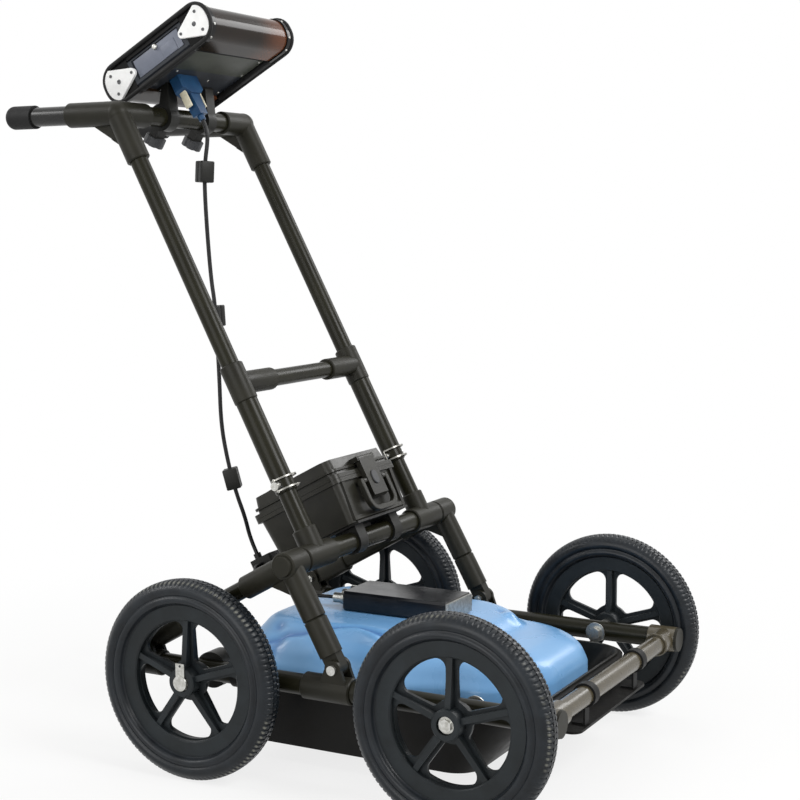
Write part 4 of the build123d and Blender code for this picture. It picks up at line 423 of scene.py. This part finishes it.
blocks = [buildFerrite(name, height, body) for name, height, body in ferriteLook["blocks"]]
cable = makeCord("signalCable", cordRoutes["signalCable"])
makeCord("powerLead", cordRoutes["powerLead"])
# the cable and the upper ferrite block stay unattached, with their placing baked into their meshes
for piece in (cable, blocks[0]):
    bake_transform(piece)
print("cords:", len(cordRoutes), "blocks:", len(blocks))

# tyres: one pitch of tread is spun from a profile, cut with sipes, then spun all the way round
tyreLook = {
    "pitches": 112, "steps": 5, "merge": 0.00002, "smoothAngle": 40,
    "sipeStep": 3, "sipeDepth": 0.0016, "sipeFrom": 0.0060, "sipeRadius": 0.1522,
    "ribStep": 1, "ribDepth": 0.0012, "ribHalf": 0.0040, "ribRadius": 0.157,
    "paleMarkSteps": (0, 1), "paleMarkBand": (0.0140, 0.0150), "paleMarkRadius": 0.150,
    # half profile in millimetres: across, out from the axle; tread, shoulder, side, valley, bead ring, bead
    "crown": (0.0, 158.5),
    "half": [(3.7, 158.4), (4.0, 156.7), (5.8, 156.6), (6.1, 158.2), (10.6, 157.5), (14.6, 155.6),
             (17.4, 152.8), (19.0, 150.6), (20.6, 148.2), (21.9, 145.4), (22.4, 142.4), (22.1, 139.4),
             (20.8, 137.0), (19.7, 135.6), (19.9, 134.2), (21.5, 132.6), (22.8, 130.2), (22.7, 127.6),
             (21.7, 125.2), (19.6, 123.2), (17.0, 122.0), (14.6, 121.3), (13.0, 119.9), (9.1, 119.9),
             (5.6, 107.9)],
}


def buildTyre(name, wheel):
    look = tyreLook
    hub = Vector(next(j["pos_m"] for j in frame["joints"] if j["child"] == wheel))
    crown, *half = [(across / 1000, out / 1000) for across, out in [look["crown"]] + look["half"]]
    loop = [crown] + half + [(-across, out) for across, out in reversed(half)]
    pitch, steps = 2 * math.pi / look["pitches"], look["steps"]
    bm = bmesh.new()
    paleMarks = bm.verts.layers.float.new("paleMarks")
    section = [bm.verts.new((0, across, out)) for across, out in loop]
    edges = [bm.edges.new((section[i], section[(i + 1) % len(section)])) for i in range(len(section))]
    bmesh.ops.spin(bm, geom=section + edges, cent=(0, 0, 0), axis=(0, 1, 0), angle=pitch, steps=steps)
    for vert in bm.verts:
        out = math.hypot(vert.co.x, vert.co.z)
        step = round(math.atan2(vert.co.x, vert.co.z) / pitch * steps) % steps
        side = abs(vert.co.y)
        drop = 0.0
        if step == look["sipeStep"] and side > look["sipeFrom"] and out > look["sipeRadius"]:
            drop = look["sipeDepth"]
        elif step == look["ribStep"] and side < look["ribHalf"] and out > look["ribRadius"]:
            drop = look["ribDepth"]
        # pale dashes go on two steps of each pitch, in a band near each shoulder of the tread
        low, high = look["paleMarkBand"]
        paleMarked = step in look["paleMarkSteps"] and out > look["paleMarkRadius"] and low < side < high
        vert[paleMarks] = 1.0 if paleMarked else 0.0
        vert.co.x *= 1 - drop / out
        vert.co.z *= 1 - drop / out
    bmesh.ops.spin(bm, geom=bm.verts[:] + bm.edges[:] + bm.faces[:], cent=(0, 0, 0), axis=(0, 1, 0),
                   angle=2 * math.pi - pitch, steps=look["pitches"] - 1, use_duplicate=True)
    bmesh.ops.remove_doubles(bm, verts=bm.verts[:], dist=look["merge"])
    bmesh.ops.recalc_face_normals(bm, faces=bm.faces[:])
    bmesh.ops.translate(bm, verts=bm.verts[:], vec=hub)
    tyre = makePiece(name, bm, "tyreRubber", wheel, look["smoothAngle"])
    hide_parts(wheel.replace("wheel", "tyre"))


for wheel in ("wheel_front_right", "wheel_front_left", "wheel_rear_right", "wheel_rear_left"):
    buildTyre("tread" + wheel.title().replace("_", "").replace("Wheel", ""), wheel)
print("tyres built")

# sensor lid: a fine sheet laid over the solid, then pressed into folds as a formed sheet is
lidLook = {
    "edge": 0.0050, "margin": 0.030, "core": 0.110, "rim": 0.001, "lip": 0.0005, "wall": 0.0025, "smoothing": 14,
    "smoothAngle": 60,
    # the fold along each side in plan: along, out to the side
    "fold": [(-0.052, 0.176), (-0.019, 0.161), (-0.005, 0.154), (0.024, 0.149), (0.073, 0.133), (0.092, 0.127),
             (0.113, 0.123), (0.137, 0.128), (0.159, 0.135), (0.188, 0.150)],
    "foldAbove": 0.165, "foldDepth": 0.0045, "foldHalf": 0.0060,
    "ridge": 0.0035, "ridgeAt": 0.0130, "ridgeHalf": 0.0080,
    # soft presses: middle in plan, radius, height
    "presses": [((-0.015, 0.170), 0.018, -0.0060), ((-0.026, 0.143), 0.013, -0.0030),
                ((0.286, 0.098), 0.020, 0.0060), ((0.264, 0.099), 0.011, -0.0030)],
    # painted shade: how dark the sunk presses and the fold are painted, and how wide the fold's painted shade
    # runs
    "pressFall": 2.0, "pressShade": 0.55, "creaseShadeHalf": 0.0038, "creaseShadeMost": 0.7,
    # the nose is lower and narrower than the deck, shorter than the base, and has a skirt that goes down into it
    "noseFrom": 0.200, "noseRun": 0.100, "noseDrop": 0.007, "dropFrom": 0.150, "dropRun": 0.050,
    "noseWide": 0.86, "noseTip": 0.74, "shortFrom": 0.300, "noseLong": 0.83, "skirt": 0.034,
}


def foldReach(along, side):
    # distance in plan from the fold's line, more than nothing on its outer side
    best = 1.0
    for (x0, y0), (x1, y1) in zip(lidLook["fold"], lidLook["fold"][1:]):
        share = ((along - x0) * (x1 - x0) + (side - y0) * (y1 - y0)) / ((x1 - x0) ** 2 + (y1 - y0) ** 2)
        share = clamp(share)
        reach = math.hypot(along - x0 - share * (x1 - x0), side - y0 - share * (y1 - y0))
        if reach < abs(best):
            best = math.copysign(reach, side - y0 - share * (y1 - y0))
    return best


def layLid(look, low, high):
    # an open box of fine quads, laid down on the solid's outside towards a flat core in the lid
    solid = bmesh.new()
    solid.from_mesh(nodes["sensor_lid"].data)
    skin = BVHTree.FromBMesh(solid)
    solid.free()
    rim = low.z + look["rim"]
    spread = (high.x - low.x + 2 * look["margin"], high.y - low.y + 2 * look["margin"],
              high.z - rim + look["margin"])
    bm = bmesh.new()
    bmesh.ops.create_cube(bm, size=1.0)
    bmesh.ops.delete(bm, geom=[f for f in bm.faces if f.normal.z < -0.5], context="FACES")
    bmesh.ops.scale(bm, vec=spread, verts=bm.verts[:])
    middle = ((low.x + high.x) / 2, (low.y + high.y) / 2, rim + spread[2] / 2)
    bmesh.ops.translate(bm, vec=middle, verts=bm.verts[:])
    for axis in range(3):
        across = [e for e in bm.edges if abs((e.verts[1].co - e.verts[0].co)[axis]) > spread[axis] / 2]
        bmesh.ops.subdivide_edges(bm, edges=across, cuts=int(spread[axis] / look["edge"]), use_grid_fill=True)
    inset = look["core"]
    for vert in bm.verts:
        aim = Vector((min(max(vert.co.x, low.x + inset), high.x - inset),
                      min(max(vert.co.y, low.y + inset), high.y - inset), rim))
        laid = skin.ray_cast(vert.co, (aim - vert.co).normalized())[0]
        vert.co = laid or aim
    inside = [v for v in bm.verts if not v.is_boundary]
    for turn in range(look["smoothing"]):
        bmesh.ops.smooth_vert(bm, verts=inside, factor=0.5, use_axis_x=True, use_axis_y=True, use_axis_z=True)
    return bm


def formLid(look):
    low, high = (Vector(corner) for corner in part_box("sensor_lid"))
    bm = layLid(look, low, high)
    paintedFoldShade = bm.verts.layers.float.new("paintedFoldShade")
    for vert in bm.verts:
        along, side = vert.co.x, abs(vert.co.y)
        if vert.co.z > look["foldAbove"]:
            reach = foldReach(along, side)
            lift = look["ridge"] * math.exp(-((reach - look["ridgeAt"]) / look["ridgeHalf"]) ** 2)
            lift -= look["foldDepth"] * math.exp(-(reach / look["foldHalf"]) ** 2)
            # painted shade along the fold and in the sunk presses, kept on the mesh for the material
            shade = look["creaseShadeMost"] * math.exp(-(reach / look["creaseShadeHalf"]) ** 2)
            for (x, y), radius, height in look["presses"]:
                fall = math.exp(-((along - x) ** 2 + (side - y) ** 2) / (radius * radius) * look["pressFall"])
                lift += height * fall
                shade = max(shade, look["pressShade"] * fall if height < 0 else 0.0)
            vert.co.z += lift
            vert[paintedFoldShade] = shade
        nose = clamp((along - look["noseFrom"]) / look["noseRun"])
        nose = nose * nose * (3 - 2 * nose)  # eased at both ends
        tip = max((along - look["noseFrom"]) / (high.x - look["noseFrom"]), 0.0)
        vert.co.z -= look["noseDrop"] * nose * clamp((vert.co.z - look["dropFrom"]) / look["dropRun"])
        vert.co.y *= 1 - nose * (1 - look["noseWide"] - (look["noseTip"] - look["noseWide"]) * tip * tip)
        if along > look["shortFrom"]:
            vert.co.x = look["shortFrom"] + (along - look["shortFrom"]) * look["noseLong"]
    skirt = bmesh.ops.extrude_edge_only(bm, edges=[e for e in bm.edges if e.is_boundary])["geom"]
    for vert in (g for g in skirt if isinstance(g, bmesh.types.BMVert)):
        vert.co.z -= look["lip"] + look["skirt"] * clamp((vert.co.x - look["noseFrom"]) / look["noseRun"])
    bmesh.ops.recalc_face_normals(bm, faces=bm.faces[:])
    bmesh.ops.solidify(bm, geom=bm.faces[:], thickness=look["wall"])
    return bm


lid = makePiece("formedLid", formLid(lidLook), "formedBlue", "frame", lidLook["smoothAngle"])
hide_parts("sensor_lid")

# the base's black shelf, seen down in the gap round the nose
shelfLook = {"from": 0.150, "to": 0.400, "half": 0.160, "level": 0.119, "thick": 0.002, "corner": 0.040,
             "cornerSteps": 8}
bm = bmesh.new()
shelf = bmesh.ops.create_cube(bm, size=1.0)["verts"]
shelfSize = (shelfLook["to"] - shelfLook["from"], 2 * shelfLook["half"], shelfLook["thick"])
bmesh.ops.scale(bm, vec=shelfSize, verts=shelf)
bmesh.ops.translate(bm, vec=((shelfLook["to"] + shelfLook["from"]) / 2, 0, shelfLook["level"]), verts=shelf)
upright = [e for e in bm.edges if abs((e.verts[1].co - e.verts[0].co).z) > shelfLook["thick"] / 2]
roundEdges(bm, upright, shelfLook["corner"], shelfLook["cornerSteps"])
makePiece("baseShelf", bm, "mouldedBlack", "frame")
print("lid formed:", len(lid.data.polygons), "faces")

# small details of the display are built in its own axes: ahead, to the left, out of the screen
displayLook = {"middle": (-0.26566, 0.0, 1.14256), "tilt": 29.0}
tilt = math.radians(displayLook["tilt"])
axisAhead = Vector((math.cos(tilt), 0, math.sin(tilt)))
axisOut = Vector((-axisAhead.z, 0, axisAhead.x))
displayPlace = Matrix((axisAhead, Vector((0, 1, 0)), axisOut)).transposed().to_4x4()
displayPlace.translation = Vector(displayLook["middle"])


def makeDetail(name, bm, finish, smoothAngle=35):
    bmesh.ops.transform(bm, matrix=displayPlace, verts=bm.verts[:])
    makePiece(name, bm, finish, "display", smoothAngle)


# screws: round heads with a socket; ahead, out and radius for those on the white plates, the rest as named
screwLook = {
    "sides": 16, "taper": 0.84, "sunk": 0.0003, "socketRim": 0.4, "socketWall": 0.06, "socketDeep": 0.6,
    "plateFace": 0.1248, "plateTall": 0.0013,
    "plate": [(0.0885, 0.0, 0.0042), (0.0990, 0.0168, 0.0030), (0.0990, -0.0168, 0.0030), (0.0585, 0.0, 0.0028)],
    "collarSide": 0.1135, "collarAhead": 0.0903, "collarOut": 0.0035, "collarRound": 0.0298,
    "collarAngles": (-70, -25, 25, 70), "collarHead": (0.0022, 0.0011),
    # under the display: ahead and to the left; those ahead go through the cover
    "under": [(0.008, 0.097), (0.050, 0.097), (0.008, -0.097), (0.050, -0.097), (-0.006, -0.076), (-0.022, 0.032),
              (-0.052, -0.100), (-0.052, 0.100)],
    "underCover": -0.0265, "underHousing": -0.0250, "underHead": (0.0027, 0.0013),
}


def addScrew(bm, place, direction, radius, height):
    look = screwLook
    turn = direction.to_track_quat("Z", "Y").to_matrix().to_4x4()
    raised = Matrix.Translation((0, 0, height / 2 - look["sunk"]))
    head = bmesh.ops.create_cone(bm, cap_ends=True, segments=look["sides"], radius1=radius,
                                 radius2=radius * look["taper"], depth=height,
                                 matrix=Matrix.Translation(place) @ turn @ raised)["verts"]
    top = max((f for v in head for f in v.link_faces), key=lambda f: f.calc_center_median().dot(direction))
    bmesh.ops.inset_individual(bm, faces=[top], thickness=radius * look["socketRim"])
    bmesh.ops.inset_individual(bm, faces=[top], thickness=radius * look["socketWall"],
                               depth=-height * look["socketDeep"])


corners = [(side, end) for side in (-1, 1) for end in (-1, 1)]
bm = bmesh.new()
for side, end in corners:
    for ahead, out, radius in screwLook["plate"]:
        addScrew(bm, Vector((end * ahead, side * screwLook["plateFace"], out)), Vector((0, side, 0)), radius,
                 screwLook["plateTall"])
makeDetail("plateScrews", bm, "blackSteel")

bm = bmesh.new()
for side, end in corners:
    for degrees in screwLook["collarAngles"]:
        angle = math.radians(degrees)
        spoke = Vector((end * math.cos(angle), 0, math.sin(angle)))
        foot = Vector((end * screwLook["collarAhead"], side * screwLook["collarSide"],
                       math.copysign(screwLook["collarOut"], angle)))
        addScrew(bm, foot + screwLook["collarRound"] * spoke, spoke, *screwLook["collarHead"])
for ahead, left in screwLook["under"]:
    level = screwLook["underCover"] if ahead > 0 else screwLook["underHousing"]
    addScrew(bm, Vector((ahead, left, level)), Vector((0, 0, -1)), *screwLook["underHead"])
makeDetail("displayScrews", bm, "platedSteel")

# painted panels in the display's sides, and a small port door on each
panelLook = {
    "sidePanels": {"half": (0.051, 0.0155), "middle": (0.0, 0.001), "floor": 0.1165, "thick": 0.0012,
                   "corner": 0.0005},
    "portDoors": {"half": (0.0155, 0.0105), "middle": (0.0235, -0.0035), "floor": 0.1177, "thick": 0.0011,
                  "corner": 0.0006},
}
panelSunk = 0.0002  # how far a panel goes into what carries it
plateSteps = 2  # segments of a plate's rounded edge
for name, look in panelLook.items():
    bm = bmesh.new()
    for side in (-1, 1):
        addBlock(bm, (2 * look["half"][0], look["thick"] + 2 * panelSunk, 2 * look["half"][1]),
                 (look["middle"][0], side * (look["floor"] + look["thick"] / 2), look["middle"][1]),
                 look["corner"], plateSteps)
    makeDetail(name, bm, "paintedPanel")

# dark rims that follow the round outer side of each white plate and meet half way along the side
plateRim = {"left": 0.1225, "thick": 0.0036, "middle": 0.0905, "round": 0.0285, "level": 0.0035, "sides": 10,
            "steps": 8, "smoothAngle": 50}


def growRing(bm, ring, shift):
    # extrudes an open ring of edges and gives the new ring
    grown = bmesh.ops.extrude_edge_only(bm, edges=ring)["geom"]
    tip = [g for g in grown if isinstance(g, bmesh.types.BMVert)]
    bmesh.ops.translate(bm, vec=shift, verts=tip)
    return [g for g in grown if isinstance(g, bmesh.types.BMEdge) and all(v in tip for v in g.verts)]


def bendRing(bm, ring, centre, angle):
    # spins an open ring of edges about an axis to the left and gives the last ring
    tip = list(dict.fromkeys(v for e in ring for v in e.verts))
    swept = bmesh.ops.spin(bm, geom=tip + ring, cent=centre, axis=(0, 1, 0), angle=angle,
                           steps=plateRim["steps"])
    return [g for g in swept["geom_last"] if isinstance(g, bmesh.types.BMEdge)]


bm = bmesh.new()
for side, end in corners:
    along, level = end * plateRim["middle"], plateRim["level"]
    start = Matrix.Translation((0, side * plateRim["left"], level + plateRim["round"]))
    circle = bmesh.ops.create_circle(bm, cap_ends=False, segments=plateRim["sides"], radius=plateRim["thick"],
                                     matrix=start @ Matrix.Rotation(math.radians(90), 4, "Y"))["verts"]
    ring = list(dict.fromkeys(e for v in circle for e in v.link_edges))
    ring = growRing(bm, ring, (along, 0, 0))
    ring = bendRing(bm, ring, (along, 0, level), end * math.pi / 2)
    ring = growRing(bm, ring, (0, 0, -2 * level))
    ring = bendRing(bm, ring, (along, 0, -level), end * math.pi / 2)
    growRing(bm, ring, (-along, 0, 0))
bmesh.ops.holes_fill(bm, edges=[e for e in bm.edges if e.is_boundary], sides=0)
bmesh.ops.recalc_face_normals(bm, faces=bm.faces[:])
makeDetail("plateRims", bm, "softRubber", plateRim["smoothAngle"])

# edge rails between the bumpers
railLook = {"size": (0.1244, 0.0120, 0.0100), "left": 0.1130, "levels": (0.0283, -0.0289), "corner": 0.0018}
bm = bmesh.new()
for side in (-1, 1):
    for level in railLook["levels"]:
        addBlock(bm, railLook["size"], (0.0, side * railLook["left"], level), railLook["corner"], plateSteps)
makeDetail("edgeRails", bm, "softRubber")

# the cover under the housing
coverLook = {"middle": (0.029, 0.0, -0.0267), "size": (0.053, 0.207, 0.0008), "corner": 0.0003}
bm = bmesh.new()
addBlock(bm, coverLook["size"], coverLook["middle"], coverLook["corner"], plateSteps)
makeDetail("underCover", bm, "mouldedOlive")

# cream spring clips on both sides of the connector hood
clipLook = {"ahead": -0.025, "left": -0.037, "from": 0.0182, "to": 0.0226, "wide": 0.0132, "top": -0.0500,
            "bottom": -0.0822, "corner": 0.0010}
bm = bmesh.new()
for side in (-1, 1):
    addBlock(bm, (clipLook["wide"], clipLook["to"] - clipLook["from"], clipLook["top"] - clipLook["bottom"]),
             (clipLook["ahead"], clipLook["left"] + side * (clipLook["from"] + clipLook["to"]) / 2,
              (clipLook["top"] + clipLook["bottom"]) / 2), clipLook["corner"], plateSteps)
makeDetail("hoodClips", bm, "mouldedCream")
print("display details built")

# soft studio light: a key ahead of the cart, a fill from its right side, a top strip, and rim lights behind
lamps = {
    "key": {"place": (3.2, -0.5, 2.9), "size": 1.5, "watts": 110},
    "fill": {"place": (-0.3, -4.0, 1.5), "size": 2.5, "watts": 62},
    "top": {"place": (-0.4, 0.6, 3.2), "size": 2.4, "watts": 20},
    "rim": {"place": (1.4, 3.2, 2.6), "size": 1.4, "watts": 40},
    "back": {"place": (-3.0, -1.8, 2.6), "size": 1.3, "watts": 40},
}
lampAim = Vector((0.0, 0.0, 0.45))
for name, lamp in lamps.items():
    light = bpy.data.lights.new(name, "AREA")
    light.size = lamp["size"]
    light.energy = lamp["watts"]
    lampObject = bpy.data.objects.new(name, light)
    lampObject.location = lamp["place"]
    lampObject.rotation_euler = (lampAim - Vector(lamp["place"])).to_track_quat("-Z", "Y").to_euler()
    scene.collection.objects.link(lampObject)

# the world is plain white where it is seen, and a dim fill where it lights the object
worldLook = {"ambient": 0.22, "backdrop": 1.0, "colour": "#ffffff"}
world = bpy.data.worlds.new("studio")
scene.world = world
world.use_nodes = True
tree = world.node_tree
tree.nodes.clear()
rays = addNode(tree, "LightPath")
seen = addNode(tree, "Math", {"operation": "MAXIMUM"}, {},
               {0: (rays, "Is Camera Ray"), 1: (rays, "Is Glossy Ray")})
seenThrough = addNode(tree, "Math", {"operation": "MAXIMUM"}, {},
                      {0: (seen, 0), 1: (rays, "Is Transmission Ray")})
white = linear(worldLook["colour"])
ambient = addNode(tree, "Background", {}, {"Color": white, "Strength": worldLook["ambient"]})
backdrop = addNode(tree, "Background", {}, {"Color": white, "Strength": worldLook["backdrop"]})
either = addNode(tree, "MixShader", {}, {}, {0: (seenThrough, 0), 1: (ambient, 0), 2: (backdrop, 0)})
addNode(tree, "OutputWorld", {}, {}, {"Surface": (either, 0)})

# plain pale floor that keeps a soft shadow close to the wheels and runs out to white
floorLook = {"half": 14.0, "colour": "#f4f4f2", "rough": 0.9, "specular": 0.0, "glow": 0.80, "white": 1.0,
             "shadeMm": 550, "whiteMm": 1500}
bm = bmesh.new()
bmesh.ops.create_grid(bm, x_segments=1, y_segments=1, size=floorLook["half"])
floorMesh = bpy.data.meshes.new("floor")
bm.to_mesh(floorMesh)
bm.free()
material, tree, shader = newMaterial("paintedFloor")
shader.inputs["Base Color"].default_value = linear(floorLook["colour"])
shader.inputs["Roughness"].default_value = floorLook["rough"]
shader.inputs["Specular IOR Level"].default_value = floorLook["specular"]
rays = addNode(tree, "LightPath")
seen = addNode(tree, "Math", {"operation": "MAXIMUM"}, {},
               {0: (rays, "Is Camera Ray"), 1: (rays, "Is Glossy Ray")})
seenThrough = addNode(tree, "Math", {"operation": "MAXIMUM"}, {},
                      {0: (seen, 0), 1: (rays, "Is Transmission Ray")})
place = addNode(tree, "TexCoord")
reach = addNode(tree, "VectorMath", {"operation": "LENGTH"}, {}, {0: (place, "Object")})
fade = addNode(tree, "MapRange", {"interpolation_type": "SMOOTHSTEP"},
               {"From Min": floorLook["shadeMm"] / 1000, "From Max": floorLook["whiteMm"] / 1000,
                "To Min": floorLook["glow"], "To Max": floorLook["white"]}, {"Value": (reach, "Value")})
glow = addNode(tree, "Emission", {}, {"Color": white, "Strength": floorLook["white"]})
share = addNode(tree, "Math", {"operation": "MULTIPLY"}, {}, {0: (seenThrough, 0), 1: (fade, 0)})
mixed = addNode(tree, "MixShader", {}, {}, {0: (share, 0), 1: (shader, 0), 2: (glow, 0)})
output = next(n for n in tree.nodes if n.bl_idname == "ShaderNodeOutputMaterial")
tree.links.new(mixed.outputs[0], output.inputs["Surface"])
floorMesh.materials.append(material)
floor = bpy.data.objects.new("floor", floorMesh)
scene.collection.objects.link(floor)
scene.view_settings.view_transform = "Standard"
print("camera, light and floor set")
